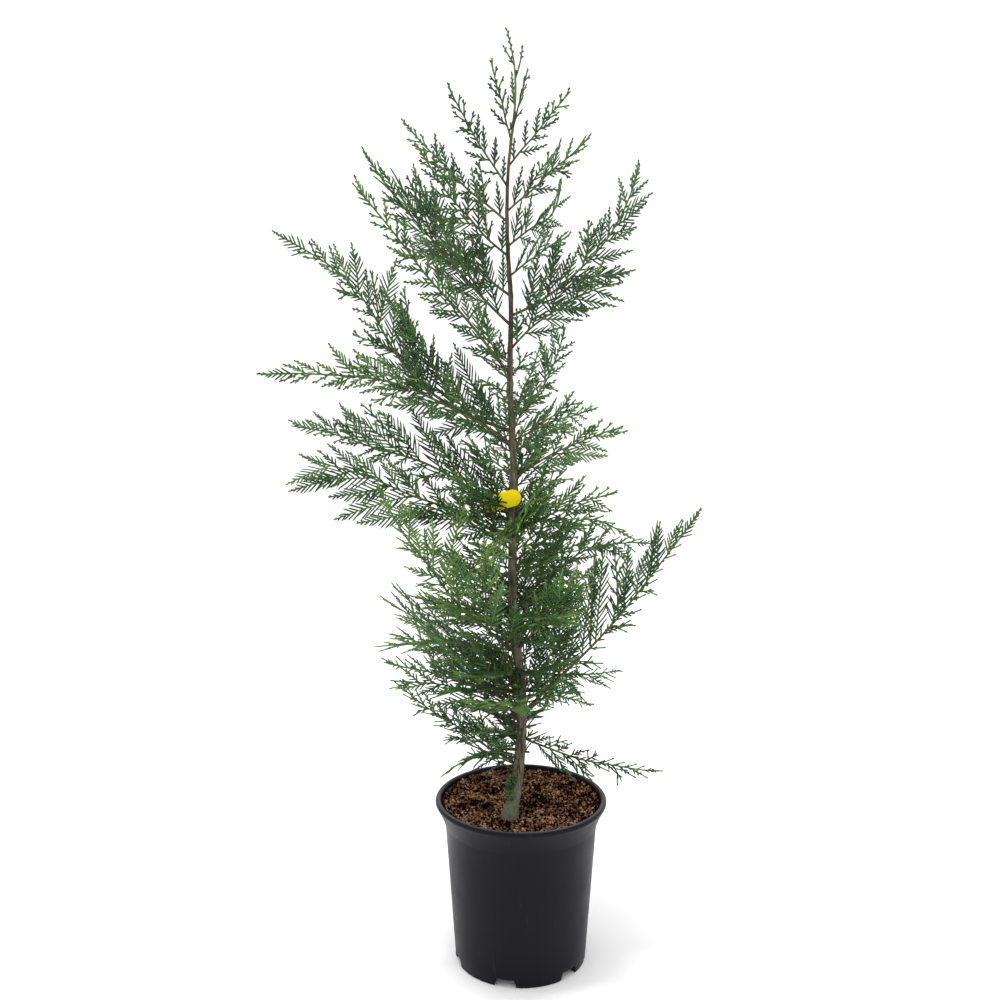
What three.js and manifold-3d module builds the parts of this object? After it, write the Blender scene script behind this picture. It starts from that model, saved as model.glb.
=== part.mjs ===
// A young leyland cypress with a single leader, standing in a round nursery pot of peat.
// Millimetres, +Z up. The origin is on the pot's axis, at its underside.
// Seen from the front (along +Y), +X is to the right. Compass angles turn from +X towards +Y.

import * as THREE from 'three';
import { mergeVertices } from 'three/addons/utils/BufferGeometryUtils.js';
import Module from 'manifold-3d';

const wasm = await Module();
wasm.setup();

// Clearance between neighbouring pieces, and the room a twig needs around it
const GAP = 0.3;
const FACET_SLACK = 0.05;
const TWIG_ROOM = 0.6;

// Pot
const POT_HEIGHT = 190;
const RIM_RADIUS = 95;
const LIP_WIDTH = 6.5;
const LIP_DEPTH = 7;
const LIP_STEPS = 5;
const LIP_START = -50;
const COLLAR_DROP = 20;
const COLLAR_RADIUS = 85.5;
const SHOULDER_DROP = 30;
const SHOULDER_RADIUS = 84;
const BASE_RADIUS = 73.5;
const WALL = 2;
const SKIRT_WIDTH = 7;
const SKIRT_EDGE = 1.5;
const CHANNEL_HEIGHT = 10;
const PAD_RADIUS = 44;
const PAD_SLOPE = 5;
const POT_SEGMENTS = 30;

// Drainage notches in the pot's skirt
const NOTCH_COUNT = 6;
const NOTCH_FOOT_WIDTH = 25;
const NOTCH_TOP_WIDTH = 20;
const NOTCH_HEIGHT = 9.5;
const NOTCH_OVERCUT = 5;
const NOTCH_FIRST_ANGLE = -104;

// Peat
const SOIL_LEVEL = 185.5;
const SOIL_BUMP = 1.8;
const SOIL_BUMP_PITCH = 27;
const SOIL_RINGS = [1, 0.84, 0.64, 0.42, 0.2, 0];
const FOOT_CLEAR_RADIUS = 16;

// Trunk: its line is a few points, read off at whole millimetres
const TRUNK_SIDES = 8;
const TRUNK_STEPS = 32;
const TRUNK_LINE = [
  [-13, -46, 185.5], [-5, -34, 222], [0, -25, 285], [-1, -20, 330], [-9, -16, 400], [-10, -12, 480],
  [-9, -10, 560], [-13, -7, 655], [-12, -5, 730], [-16, -4, 805], [-15, -3, 865], [-8, -1, 935],
  [-9, 0, 968], [-16, 0, 1001],
];
const TRUNK_FOOT_RADIUS = 6;
const TRUNK_MID_RADIUS = 4.3;
const TRUNK_TIP_RADIUS = 0.7;
const TRUNK_MID_SHARE = 0.42;
const TRUNK_TAPER_POWER = 0.8;
const FLARE_RADIUS = 4;
const FLARE_HEIGHT = 16;

// Label on the trunk
const LABEL_HEIGHT = 531;
const LABEL_WIDTH = 18;
const LABEL_LENGTH = 42;
const LABEL_RIGHT = 8;
const LABEL_SHEET = 1;
const LABEL_BAND = 5;
const LABEL_SLACK = 1.6;
const LABEL_DIP = 16;

// Boughs and sprays
const STEM_ROOT_RADIUS = 1.2;
const STEM_RADIUS_SHARE = 0.004;
const STEM_TIP_RADIUS = 0.7;
const STEM_SIDES = 3;
const STEM_STEPS = 3;
const LIMB_SIDES = 5;
const LIMB_STEPS = 4;
const LIMB_SHARE_OF_BARE = 0.75;
const STEM_END = 0.84;
const TIP_SPRAY_START = 0.7;
const LEAST_TWIGS = 3;
const FIRST_TWIG_PLACE = 0.06;
const LAST_TWIG_PLACE = 0.74;
const TWIG_PITCH = 38;
const TWIG_SPREAD = 0.36;
const TWIG_SPREAD_LEAST = 20;
const TWIG_ANGLE = 43;
const TWIG_ANGLE_AT_TIP = 27;
const TWIG_ANGLE_DRIFT = 9;
const TWIG_ROLL_DRIFT = 18;
const TWIG_LENGTH_DRIFT = 0.15;
const TWIG_SHORTENINGS = [1, 0.78, 0.58];
const SPRAY_TOOTH_PITCH = 22;
const SPRAY_MOST_TEETH = 3;
const SPRAY_TOOTH_ANGLE = 34;
const SPRAY_TOOTH_LENGTH = 0.32;
const SPRAY_STALK = 0.16;
const SPRAY_END = 0.86;
const SPRAY_NOTCH = 0.16;
const SPRAY_NOTCH_MOST = 1.8;
const SPRAY_TIP_SHARE = 0.4;
const SPRAY_FIRST_TOOTH = 1.25;
const SPRAY_LAST_TOOTH = 0.7;
const SPRAY_THICKNESS = 0.028;
const SPRAY_THICKNESS_LEAST = 1.3;

// Every bough: name, height of its foot on the trunk, compass angle it grows to, how far out and how
// high its tip is, how much it arches over (+) or sags under (-) a straight line, how much it sways
// below that arch and then above it, its bare length next to the trunk, and how its spray is turned
// about it (0 is upright)
const BOUGHS = [
  ['top_left', 895, 215, 25, 970, 0, 0, 15, 20],
  ['top_right', 905, 40, 20, 965, 0, 0, 10, -30],
  ['left_1', 850, 205, 65, 945, -0.05, 0, 15, 15],
  ['left_2', 815, 155, 120, 920, -0.05, 0, 20, -20],
  ['left_3', 780, 220, 115, 885, -0.1, 0, 20, 20],
  ['left_4', 740, 140, 140, 875, -0.15, 0, 25, -15],
  ['left_5', 710, 185, 150, 885, -0.05, 0, 45, 50],
  ['left_6', 660, 210, 175, 850, 0, 0, 55, 15],
  ['left_7', 600, 170, 255, 805, -0.05, 0.05, 55, -20],
  ['left_8', 585, 195, 260, 665, 0.2, 0, 45, 20],
  ['left_9', 515, 160, 265, 595, 0.1, 0, 50, 0],
  ['left_10', 485, 190, 220, 580, 0.05, 0, 55, -20],
  ['left_11', 360, 220, 180, 565, -0.1, 0, 60, 55],
  ['left_12', 300, 140, 165, 390, -0.35, -0.05, 35, 20],
  ['left_13', 315, 220, 180, 390, 0, 0, 35, -25],
  ['left_14', 240, 175, 135, 330, -0.05, 0, 35, 15],
  ['left_15', 255, 215, 100, 250, 0.2, 0, 25, 40],
  ['right_1', 870, 15, 65, 945, 0, 0, 15, 0],
  ['right_2', 825, -25, 90, 895, 0, 0, 20, 25],
  ['right_3', 790, 50, 90, 860, -0.25, -0.05, 20, -15],
  ['right_4', 760, -50, 90, 800, 0.05, 0, 20, 20],
  ['right_5', 720, 10, 135, 875, -0.25, 0, 50, 10],
  ['right_6', 685, -35, 130, 755, 0.15, 0, 25, -30],
  ['right_7', 615, 55, 105, 705, -0.25, 0, 30, 55],
  ['right_8', 590, -50, 125, 635, 0.05, 0, 25, 25],
  ['right_9', 550, 15, 120, 600, 0.1, 0, 35, -10],
  ['right_10', 460, -20, 130, 495, 0.4, 0.05, 35, 20],
  ['right_11', 405, 30, 185, 460, 0.3, 0, 45, -20],
  ['right_12', 295, -10, 185, 525, -0.05, 0, 75, 15],
  ['right_13', 365, -50, 115, 480, 0, 0, 30, -15],
  ['right_14', 340, 40, 155, 310, -0.05, 0, 30, 30],
  ['right_15', 320, -60, 135, 345, 0.05, 0, 30, 35],
  ['right_16', 270, 5, 155, 225, -0.1, 0, 30, 50],
  ['back_1', 650, 105, 140, 730, -0.05, 0, 25, 75],
  ['back_2', 610, 75, 140, 685, 0, 0, 25, 100],
  ['back_3', 500, 100, 165, 510, 0.1, 0, 25, 80],
  ['back_4', 400, 70, 170, 390, 0.1, 0, 30, 95],
  ['back_5', 325, 115, 170, 330, 0.05, 0, 30, 75],
  ['back_6', 275, 90, 135, 250, 0.05, 0, 25, 95],
  ['front_1', 500, 260, 100, 460, 0.25, 0, 30, 75],
  ['front_2', 295, 245, 130, 350, 0.05, 0, 30, 80],
  ['front_3', 400, 300, 130, 425, 0.05, 0, 30, 100],
  ['front_4', 640, 245, 70, 660, 0, 0, 20, 60],
].map(([name, foot, compass, reach, tip, arch, sway, bare, roll]) => (
  { name, foot, compass, reach, tip, arch, sway, bare, roll }
));

// Main boughs: the bare wood of each is a piece of its own
const MAIN_BOUGHS = [
  'left_5', 'left_6', 'left_7', 'left_8', 'left_9', 'left_10', 'left_11', 'left_14',
  'right_5', 'right_9', 'right_11', 'right_12', 'right_16',
];

// Short shoots that stand on the leader's tip: foot, compass, reach and rise
const LEADER_SHOOT_RADIUS = 0.9;
const LEADER_SHOOT_TIP_RADIUS = 0.4;
const LEADER_SHOOTS = [
  { foot: 968, compass: 190, reach: 11, rise: 17 },
  { foot: 955, compass: -15, reach: 11, rise: 28 },
  { foot: 928, compass: 120, reach: 9, rise: 32 },
];

const PEAT = { color: 0x5a3524, roughness: 0.95, metalness: 0 };
const BLACK_PLASTIC = { color: 0x28282c, roughness: 0.45, metalness: 0 };
const BARK = { color: 0x6b5a4c, roughness: 0.9, metalness: 0 };
const YELLOW_PLASTIC = { color: 0xf6d400, roughness: 0.4, metalness: 0 };
const FOLIAGE = { color: 0x3f6b3f, roughness: 0.7, metalness: 0 };

const UP = new THREE.Vector3(0, 0, 1);
const STEEP = 0.22;
const radians = THREE.MathUtils.degToRad;

// The same draws in the same order on every run
function seeded(seed) {
  let state = seed;
  return () => {
    state = (state * 1664525 + 1013904223) % 4294967296;
    return state / 4294967296;
  };
}

// A draw between minus and plus a most
function drift(random, most) {
  return (random() * 2 - 1) * most;
}

// Solids from geometries, and geometries from solids

function solidOf(geometry) {
  const bare = geometry.index ? geometry.toNonIndexed() : geometry.clone();
  bare.deleteAttribute('normal');
  bare.deleteAttribute('uv');
  const merged = mergeVertices(bare, 1e-4);
  return new wasm.Manifold(new wasm.Mesh({
    numProp: 3,
    vertProperties: new Float32Array(merged.attributes.position.array),
    triVerts: new Uint32Array(merged.index.array),
  }));
}

function largestPiece(solid) {
  const pieces = solid.decompose();
  return pieces.reduce((best, piece) => (piece.volume() > best.volume() ? piece : best));
}

function meshOf(name, solid, look) {
  const { vertProperties, triVerts } = solid.getMesh();
  const geometry = new THREE.BufferGeometry();
  geometry.setAttribute('position', new THREE.BufferAttribute(new Float32Array(vertProperties), 3));
  geometry.setIndex(new THREE.BufferAttribute(new Uint32Array(triVerts), 1));
  const mesh = new THREE.Mesh(geometry, new THREE.MeshStandardMaterial(look));
  mesh.name = name;
  return mesh;
}

// A tapering limb: a closed cylinder laid along a curve, from share start to share end of its length
function limbGeometry(curve, radiusAt, sides, steps, start, end) {
  const geometry = new THREE.CylinderGeometry(1, 1, 1, sides, steps);
  const position = geometry.attributes.position;
  const vertex = new THREE.Vector3();
  for (let i = 0; i < position.count; i += 1) {
    vertex.fromBufferAttribute(position, i);
    const share = start + (end - start) * (vertex.y + 0.5);
    const { side, over } = frameAt(curve, share);
    const radius = radiusAt(share);
    const place = curve.getPointAt(share)
      .addScaledVector(side, vertex.z * radius)
      .addScaledVector(over, vertex.x * radius);
    position.setXYZ(i, place.x, place.y, place.z);
  }
  return geometry;
}

// Three square directions at a share of a curve: along it, level across it, and over it
function frameAt(curve, share) {
  const along = curve.getTangentAt(share);
  const side = new THREE.Vector3().crossVectors(UP, along);
  if (side.length() < STEEP) {
    side.set(0, 1, 0).addScaledVector(along, -along.y);
  }
  side.normalize();
  const over = new THREE.Vector3().crossVectors(along, side);
  return { along, side, over };
}

// Pot

// The rolled lip: an arc from its outer underside, over its top, to its inner edge
function lipArc() {
  const points = [];
  for (let i = 0; i <= LIP_STEPS; i += 1) {
    const turn = radians(THREE.MathUtils.lerp(LIP_START, 180, i / LIP_STEPS));
    points.push([
      RIM_RADIUS + (Math.cos(turn) - 1) * LIP_WIDTH / 2,
      POT_HEIGHT + (Math.sin(turn) - 1) * LIP_DEPTH / 2,
    ]);
  }
  return points;
}

// The underside has a flat pad in the middle, a raised channel round it, and the skirt
function potOutside() {
  return [
    [0, 0],
    [PAD_RADIUS, 0],
    [PAD_RADIUS + PAD_SLOPE, CHANNEL_HEIGHT],
    [BASE_RADIUS - SKIRT_WIDTH, CHANNEL_HEIGHT],
    [BASE_RADIUS - SKIRT_WIDTH + SKIRT_EDGE, 0],
    [BASE_RADIUS - SKIRT_EDGE, 0],
    [BASE_RADIUS, SKIRT_EDGE],
    [SHOULDER_RADIUS, POT_HEIGHT - SHOULDER_DROP],
    [COLLAR_RADIUS, POT_HEIGHT - COLLAR_DROP],
    ...lipArc(),
  ];
}

// The inner wall, from the collar down to the floor, or a shape that keeps a clearance inside it
function potInside(clearance) {
  const inset = WALL + clearance;
  return [
    [COLLAR_RADIUS - inset, POT_HEIGHT - COLLAR_DROP],
    [SHOULDER_RADIUS - inset, POT_HEIGHT - SHOULDER_DROP],
    [BASE_RADIUS - inset, CHANNEL_HEIGHT + inset],
    [PAD_RADIUS + PAD_SLOPE - inset, CHANNEL_HEIGHT + inset],
    [PAD_RADIUS - inset, inset],
    [0, inset],
  ];
}

function turned(profile, segments) {
  const points = profile.map(([radius, height]) => new THREE.Vector2(radius, height));
  return new THREE.LatheGeometry(points, segments).rotateX(Math.PI / 2);
}

function notchCutter(turn) {
  const half = NOTCH_FOOT_WIDTH / 2;
  const outline = new THREE.Shape([
    new THREE.Vector2(-half, -NOTCH_OVERCUT),
    new THREE.Vector2(half, -NOTCH_OVERCUT),
    new THREE.Vector2(half, 0),
    new THREE.Vector2(NOTCH_TOP_WIDTH / 2, NOTCH_HEIGHT),
    new THREE.Vector2(-NOTCH_TOP_WIDTH / 2, NOTCH_HEIGHT),
    new THREE.Vector2(-half, 0),
  ]);
  const depth = SKIRT_WIDTH + 2 * NOTCH_OVERCUT;
  const cutter = new THREE.ExtrudeGeometry(outline, { depth, bevelEnabled: false });
  return cutter.rotateX(Math.PI / 2).rotateZ(Math.PI / 2)
    .translate(BASE_RADIUS - SKIRT_WIDTH - NOTCH_OVERCUT, 0, 0).rotateZ(radians(turn));
}

function potSolid() {
  let pot = solidOf(turned([...potOutside(), ...potInside(0)], POT_SEGMENTS));
  for (let i = 0; i < NOTCH_COUNT; i += 1) {
    pot = pot.subtract(solidOf(notchCutter(NOTCH_FIRST_ANGLE + i * 360 / NOTCH_COUNT)));
  }
  return pot;
}

// Peat: it fills the pot, with a bumpy top that is flat where the trunk stands

function soilTopAt(x, y) {
  const [footX, footY] = TRUNK_LINE[0];
  const fromFoot = Math.hypot(x - footX, y - footY);
  const fromWall = COLLAR_RADIUS - Math.hypot(x, y);
  const calm = THREE.MathUtils.smoothstep(fromFoot, FOOT_CLEAR_RADIUS, FOOT_CLEAR_RADIUS * 1.8)
    * THREE.MathUtils.smoothstep(fromWall, 0, FOOT_CLEAR_RADIUS);
  const turn = 2 * Math.PI / SOIL_BUMP_PITCH;
  const wave = Math.sin(x * turn + 1) * Math.cos(y * turn);
  return SOIL_LEVEL + SOIL_BUMP * wave * calm;
}

function soilSolid() {
  const [lipRadius, lipHeight] = potOutside().at(-1);
  const [wallRadius, wallHeight] = potInside(0)[0];
  const rise = (SOIL_LEVEL - wallHeight) / (lipHeight - wallHeight);
  const edge = THREE.MathUtils.lerp(wallRadius, lipRadius, rise) - 2 * GAP;
  const wall = potInside(GAP).reverse();
  const rings = SOIL_RINGS.map((share) => [edge * share, SOIL_LEVEL]);
  const geometry = turned([...wall, ...rings], POT_SEGMENTS);
  const position = geometry.attributes.position;
  for (let i = 0; i < position.count; i += 1) {
    if (position.getZ(i) > SOIL_LEVEL - 1) {
      position.setZ(i, soilTopAt(position.getX(i), position.getY(i)));
    }
  }
  return solidOf(geometry);
}

// Trunk

const trunkLine = new THREE.CatmullRomCurve3(TRUNK_LINE.map((point) => new THREE.Vector3(...point)));
trunkLine.arcLengthDivisions = 800;
const TRUNK_LENGTH = trunkLine.getLength();

function trunkRadius(share) {
  const flare = FLARE_RADIUS * Math.exp(-share * TRUNK_LENGTH / FLARE_HEIGHT);
  if (share < TRUNK_MID_SHARE) {
    return THREE.MathUtils.lerp(TRUNK_FOOT_RADIUS, TRUNK_MID_RADIUS, share / TRUNK_MID_SHARE) + flare;
  }
  const upper = (share - TRUNK_MID_SHARE) / (1 - TRUNK_MID_SHARE);
  return THREE.MathUtils.lerp(TRUNK_MID_RADIUS, TRUNK_TIP_RADIUS, Math.pow(upper, TRUNK_TAPER_POWER));
}

function trunkSolid(extra) {
  const geometry = limbGeometry(
    trunkLine, (share) => trunkRadius(share) + extra, TRUNK_SIDES, TRUNK_STEPS, 0, 1,
  );
  const position = geometry.attributes.position;
  const flatFoot = SOIL_LEVEL + GAP;
  for (let i = 0; i < position.count; i += 1) {
    if (position.getZ(i) < flatFoot + FLARE_RADIUS) {
      position.setZ(i, flatFoot - extra);
    }
  }
  return solidOf(geometry);
}

// The trunk's middle at a height above the floor
function trunkAt(height) {
  let low = 0;
  let high = 1;
  for (let i = 0; i < 40; i += 1) {
    const middle = (low + high) / 2;
    if (trunkLine.getPointAt(middle).z < height) {
      low = middle;
    } else {
      high = middle;
    }
  }
  return { place: trunkLine.getPointAt(low), radius: trunkRadius(low) };
}

function leaderShoot({ foot, compass, reach, rise }) {
  const { place } = trunkAt(foot);
  const turn = radians(compass);
  const tip = place.clone().add(new THREE.Vector3(reach * Math.cos(turn), reach * Math.sin(turn), rise));
  const taper = (share) => THREE.MathUtils.lerp(LEADER_SHOOT_RADIUS, LEADER_SHOOT_TIP_RADIUS, share);
  return solidOf(limbGeometry(new THREE.LineCurve3(place, tip), taper, STEM_SIDES, 1, 0, 1));
}

// Label: a flat tag with round ends in front of the trunk, held by a band that loops round it

function labelSolid() {
  const { place, radius } = trunkAt(LABEL_HEIGHT);
  const hole = radius + LABEL_SLACK;
  const round = LABEL_WIDTH / 2;
  const tag = new THREE.Shape();
  tag.moveTo(LABEL_RIGHT - round, -round);
  tag.absarc(LABEL_RIGHT - round, 0, round, -Math.PI / 2, Math.PI / 2, false);
  tag.absarc(LABEL_RIGHT - LABEL_LENGTH + round, 0, round, Math.PI / 2, Math.PI * 1.5, false);
  const plate = new THREE.ExtrudeGeometry(tag, {
    depth: LABEL_SHEET, bevelEnabled: false, curveSegments: 6,
  }).rotateX(Math.PI / 2).translate(0, -hole, 0);
  const ring = new THREE.Shape();
  ring.absarc(0, 0, hole + LABEL_SHEET, 0, 2 * Math.PI, false);
  const inside = new THREE.Path();
  inside.absarc(0, 0, hole, 0, 2 * Math.PI, true);
  ring.holes.push(inside);
  const band = new THREE.ExtrudeGeometry(ring, {
    depth: LABEL_BAND, bevelEnabled: false, curveSegments: 6,
  }).translate(0, 0, -LABEL_BAND / 2);
  const label = [plate, band].map((piece) => solidOf(
    piece.rotateY(radians(-LABEL_DIP)).translate(place.x, place.y, place.z),
  ));
  return label[0].add(label[1]).subtract(trunkSolid(GAP + FACET_SLACK));
}

// Boughs

// A line from a foot to a tip that arches over, and sways below its arch and then above it
class BoughLine extends THREE.Curve {
  constructor({ foot, compass, reach, tip, arch, sway }) {
    super();
    const start = trunkAt(foot).place;
    const turn = radians(compass);
    const end = new THREE.Vector3(start.x + reach * Math.cos(turn), start.y + reach * Math.sin(turn), tip);
    const chord = end.clone().sub(start);
    const length = chord.length();
    chord.normalize();
    this.over = UP.clone().addScaledVector(chord, -chord.z).normalize();
    this.sway = sway * length;
    const middle = start.clone().lerp(end, 0.5).addScaledVector(this.over, arch * length);
    this.arc = new THREE.QuadraticBezierCurve3(start, middle, end);
  }

  getPoint(t, place = new THREE.Vector3()) {
    return this.arc.getPoint(t, place).addScaledVector(this.over, -this.sway * Math.sin(2 * Math.PI * t));
  }
}

function boughRadius(line) {
  const root = STEM_ROOT_RADIUS + STEM_RADIUS_SHARE * line.getLength();
  return (share) => THREE.MathUtils.lerp(root, STEM_TIP_RADIUS, share);
}

// A flat spray as a toothed blade: thick along its rib and sharp at its edge. It lies along +X
// and its teeth point forward on both sides in the XY plane, past a short stalk with a pointed root.
function sprayGeometry(length) {
  const teeth = Math.max(2, Math.min(SPRAY_MOST_TEETH, Math.round(length / SPRAY_TOOTH_PITCH)));
  const half = Math.max(SPRAY_THICKNESS_LEAST, SPRAY_THICKNESS * length) / 2;
  const stalk = SPRAY_STALK * length;
  const pitch = (length * SPRAY_END - stalk) / teeth;
  const notch = Math.min(SPRAY_NOTCH * pitch, SPRAY_NOTCH_MOST);
  const lean = radians(SPRAY_TOOTH_ANGLE);
  const corners = [];
  const faces = [];
  const add = (x, y, z) => corners.push([x, y, z]) - 1;
  const root = add(0, 0, 0);
  const end = add(length, 0, 0);
  const top = [];
  const bottom = [];
  for (let i = 0; i <= teeth; i += 1) {
    const thin = half * THREE.MathUtils.lerp(1, SPRAY_TIP_SHARE, i / teeth);
    top.push(add(stalk + pitch * i, 0, thin));
    bottom.push(add(stalk + pitch * i, 0, -thin));
  }
  for (const hand of [1, -1]) {
    const face = (a, b, c) => faces.push(hand > 0 ? [a, b, c] : [a, c, b]);
    let before = add(stalk, hand * notch, 0);
    face(root, top[0], before);
    face(root, before, bottom[0]);
    for (let i = 1; i <= teeth; i += 1) {
      const after = add(stalk + pitch * i, hand * notch, 0);
      const reach = SPRAY_TOOTH_LENGTH * length
        * THREE.MathUtils.lerp(SPRAY_FIRST_TOOTH, SPRAY_LAST_TOOTH, i / teeth);
      const point = add(
        stalk + pitch * (i - 0.5) + reach * Math.cos(lean), hand * reach * Math.sin(lean), 0,
      );
      face(top[i - 1], top[i], after);
      face(top[i - 1], after, point);
      face(top[i - 1], point, before);
      face(bottom[i - 1], after, bottom[i]);
      face(bottom[i - 1], point, after);
      face(bottom[i - 1], before, point);
      before = after;
    }
    face(top[teeth], end, before);
    face(bottom[teeth], before, end);
  }
  const geometry = new THREE.BufferGeometry();
  geometry.setAttribute('position', new THREE.Float32BufferAttribute(corners.flat(), 3));
  geometry.setIndex(faces.flat());
  return geometry;
}

// A spray laid from a root point along a direction, its flat side facing a normal
function placedSpray(root, direction, normal, length) {
  const across = new THREE.Vector3().crossVectors(normal, direction).normalize();
  const facing = new THREE.Vector3().crossVectors(direction, across);
  const matrix = new THREE.Matrix4().makeBasis(direction, across, facing).setPosition(root);
  return solidOf(sprayGeometry(length).applyMatrix4(matrix));
}

// How long a side twig is, by its place between the first twig (0) and the bough's tip (1)
function twigProfile(place) {
  return (0.7 + place) * Math.pow(1 - place, 0.7);
}

// Each twig of a bough: where it leaves the bough, the way it points, the way its spray faces
// and its length. Twigs leave on alternate sides, in a plane that is turned about the bough.
function twigsOf(bough, line, random) {
  const length = line.getLength();
  const leafy = length - bough.bare;
  const count = Math.max(LEAST_TWIGS, Math.round(leafy / TWIG_PITCH));
  const spread = TWIG_SPREAD_LEAST + TWIG_SPREAD * length;
  const twigs = [];
  for (let i = 0; i < count; i += 1) {
    const place = THREE.MathUtils.lerp(FIRST_TWIG_PLACE, LAST_TWIG_PLACE, i / (count - 1));
    const share = (bough.bare + leafy * place) / length;
    const hand = i % 2 ? 1 : -1;
    const { along, side, over } = frameAt(line, share);
    const roll = radians(bough.roll + drift(random, TWIG_ROLL_DRIFT));
    const outward = over.clone().multiplyScalar(Math.cos(roll)).addScaledVector(side, Math.sin(roll));
    const angle = radians(
      THREE.MathUtils.lerp(TWIG_ANGLE, TWIG_ANGLE_AT_TIP, place) + drift(random, TWIG_ANGLE_DRIFT),
    );
    const direction = along.clone().multiplyScalar(Math.cos(angle))
      .addScaledVector(outward, hand * Math.sin(angle)).normalize();
    const normal = new THREE.Vector3().crossVectors(along, outward).normalize();
    twigs.push({
      root: line.getPointAt(share), direction, normal,
      length: spread * twigProfile(place) * (1 + drift(random, TWIG_LENGTH_DRIFT)),
    });
  }
  return twigs;
}

// The spray that carries the bough on to its tip
function tipTwig(bough, line) {
  const root = line.getPointAt(TIP_SPRAY_START);
  const direction = line.getPointAt(1).sub(root);
  const length = direction.length();
  direction.normalize();
  const { side, over } = frameAt(line, TIP_SPRAY_START);
  const roll = radians(bough.roll);
  const outward = over.multiplyScalar(Math.cos(roll)).addScaledVector(side, Math.sin(roll));
  const normal = new THREE.Vector3().crossVectors(direction, outward).normalize();
  return { root, direction, normal, length };
}

function boxesNear(one, other, room) {
  return [0, 1, 2].every((axis) => (
    one.min[axis] - room < other.max[axis] && other.min[axis] - room < one.max[axis]
  ));
}

function isClear(solid, others) {
  const box = solid.boundingBox();
  return others.every((other) => (
    !boxesNear(box, other.box, TWIG_ROOM) || solid.minGap(other.solid, TWIG_ROOM) >= TWIG_ROOM
  ));
}

function withBox(solid) {
  return { solid, box: solid.boundingBox() };
}

// The plant, from the pot up

const tree = new THREE.Group();
const pot = potSolid();
const soil = soilSolid();
const trunk = LEADER_SHOOTS.reduce((solid, shoot) => solid.add(leaderShoot(shoot)), trunkSolid(0));
const label = labelSolid();
tree.add(meshOf('pot', pot, BLACK_PLASTIC));
tree.add(meshOf('soil', soil, PEAT));
tree.add(meshOf('trunk', trunk, BARK));
tree.add(meshOf('stem_label', label, YELLOW_PLASTIC));

const trunkRoom = trunkSolid(GAP + FACET_SLACK);
const placed = [pot, soil, trunk, label].map(withBox);
const stems = BOUGHS.map((bough) => {
  const line = new BoughLine(bough);
  const length = line.getLength();
  const radiusAt = boughRadius(line);
  const isMain = MAIN_BOUGHS.includes(bough.name);
  const limbEnd = isMain ? bough.bare * LIMB_SHARE_OF_BARE / length : 0;
  const stemStart = isMain ? limbEnd + GAP / length : 0;
  let stem = solidOf(limbGeometry(line, radiusAt, STEM_SIDES, STEM_STEPS, stemStart, STEM_END));
  if (isMain) {
    const limb = solidOf(limbGeometry(line, radiusAt, LIMB_SIDES, LIMB_STEPS, 0, limbEnd));
    const cut = largestPiece(limb.subtract(trunkRoom));
    tree.add(meshOf(`bough_${bough.name}`, cut, BARK));
    placed.push(withBox(cut));
  } else {
    stem = largestPiece(stem.subtract(trunkRoom));
  }
  return { bough, line, stem };
});

stems.forEach(({ bough, line, stem }, index) => {
  const random = seeded(index * 7919 + 17);
  const otherStems = stems.filter((other) => other.stem !== stem).map((other) => withBox(other.stem));
  const others = [...placed, ...otherStems];
  let mass = stem;
  for (const twig of [tipTwig(bough, line), ...twigsOf(bough, line, random)]) {
    for (const shorter of TWIG_SHORTENINGS) {
      const spray = placedSpray(twig.root, twig.direction, twig.normal, twig.length * shorter);
      if (isClear(spray, others)) {
        mass = mass.add(spray);
        break;
      }
    }
  }
  mass = largestPiece(mass);
  placed.push(withBox(mass));
  tree.add(meshOf(`foliage_${bough.name}`, mass, FOLIAGE));
});

export default tree;
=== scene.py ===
import itertools
import math

import bpy
import numpy as np
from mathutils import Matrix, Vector, noise


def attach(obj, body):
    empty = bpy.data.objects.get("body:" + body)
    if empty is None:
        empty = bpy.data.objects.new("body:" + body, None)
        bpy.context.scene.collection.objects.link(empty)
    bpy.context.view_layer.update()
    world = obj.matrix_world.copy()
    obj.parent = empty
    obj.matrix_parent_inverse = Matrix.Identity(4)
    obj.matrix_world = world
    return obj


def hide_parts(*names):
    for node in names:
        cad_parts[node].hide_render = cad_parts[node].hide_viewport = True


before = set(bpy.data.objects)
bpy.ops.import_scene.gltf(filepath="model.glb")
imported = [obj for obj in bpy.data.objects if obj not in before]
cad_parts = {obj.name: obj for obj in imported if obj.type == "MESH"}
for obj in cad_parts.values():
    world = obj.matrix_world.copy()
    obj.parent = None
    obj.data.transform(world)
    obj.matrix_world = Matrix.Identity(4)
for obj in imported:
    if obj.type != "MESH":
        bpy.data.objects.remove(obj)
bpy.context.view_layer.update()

# A young leyland cypress in a nursery pot: looks only. The frame is in metres, and the plant grows
# here by the same rule and the same named sizes, in millimetres, as its solids do.
# MM turns those sizes into metres where a mesh is made.

MM = 0.001

# Camera, fitted to the pot's rim and base: its place in metres, its pitch in degrees
CAMERA_PLACE = (-0.0233, -1.331, 0.775)
CAMERA_PITCH = 79.38
CAMERA_LENS = 45.79
SENSOR_WIDTH = 36

# Studio: sizes and places in metres
FLOOR_SIZE = 14
SKY_STRENGTH = 1.18
LAMP_PLACE = (-0.36, -0.2, 2.6)
LAMP_AIM = (0, 0, 0.45)
LAMP_SIZE = 0.35
LAMP_WATTS = 30

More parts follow.
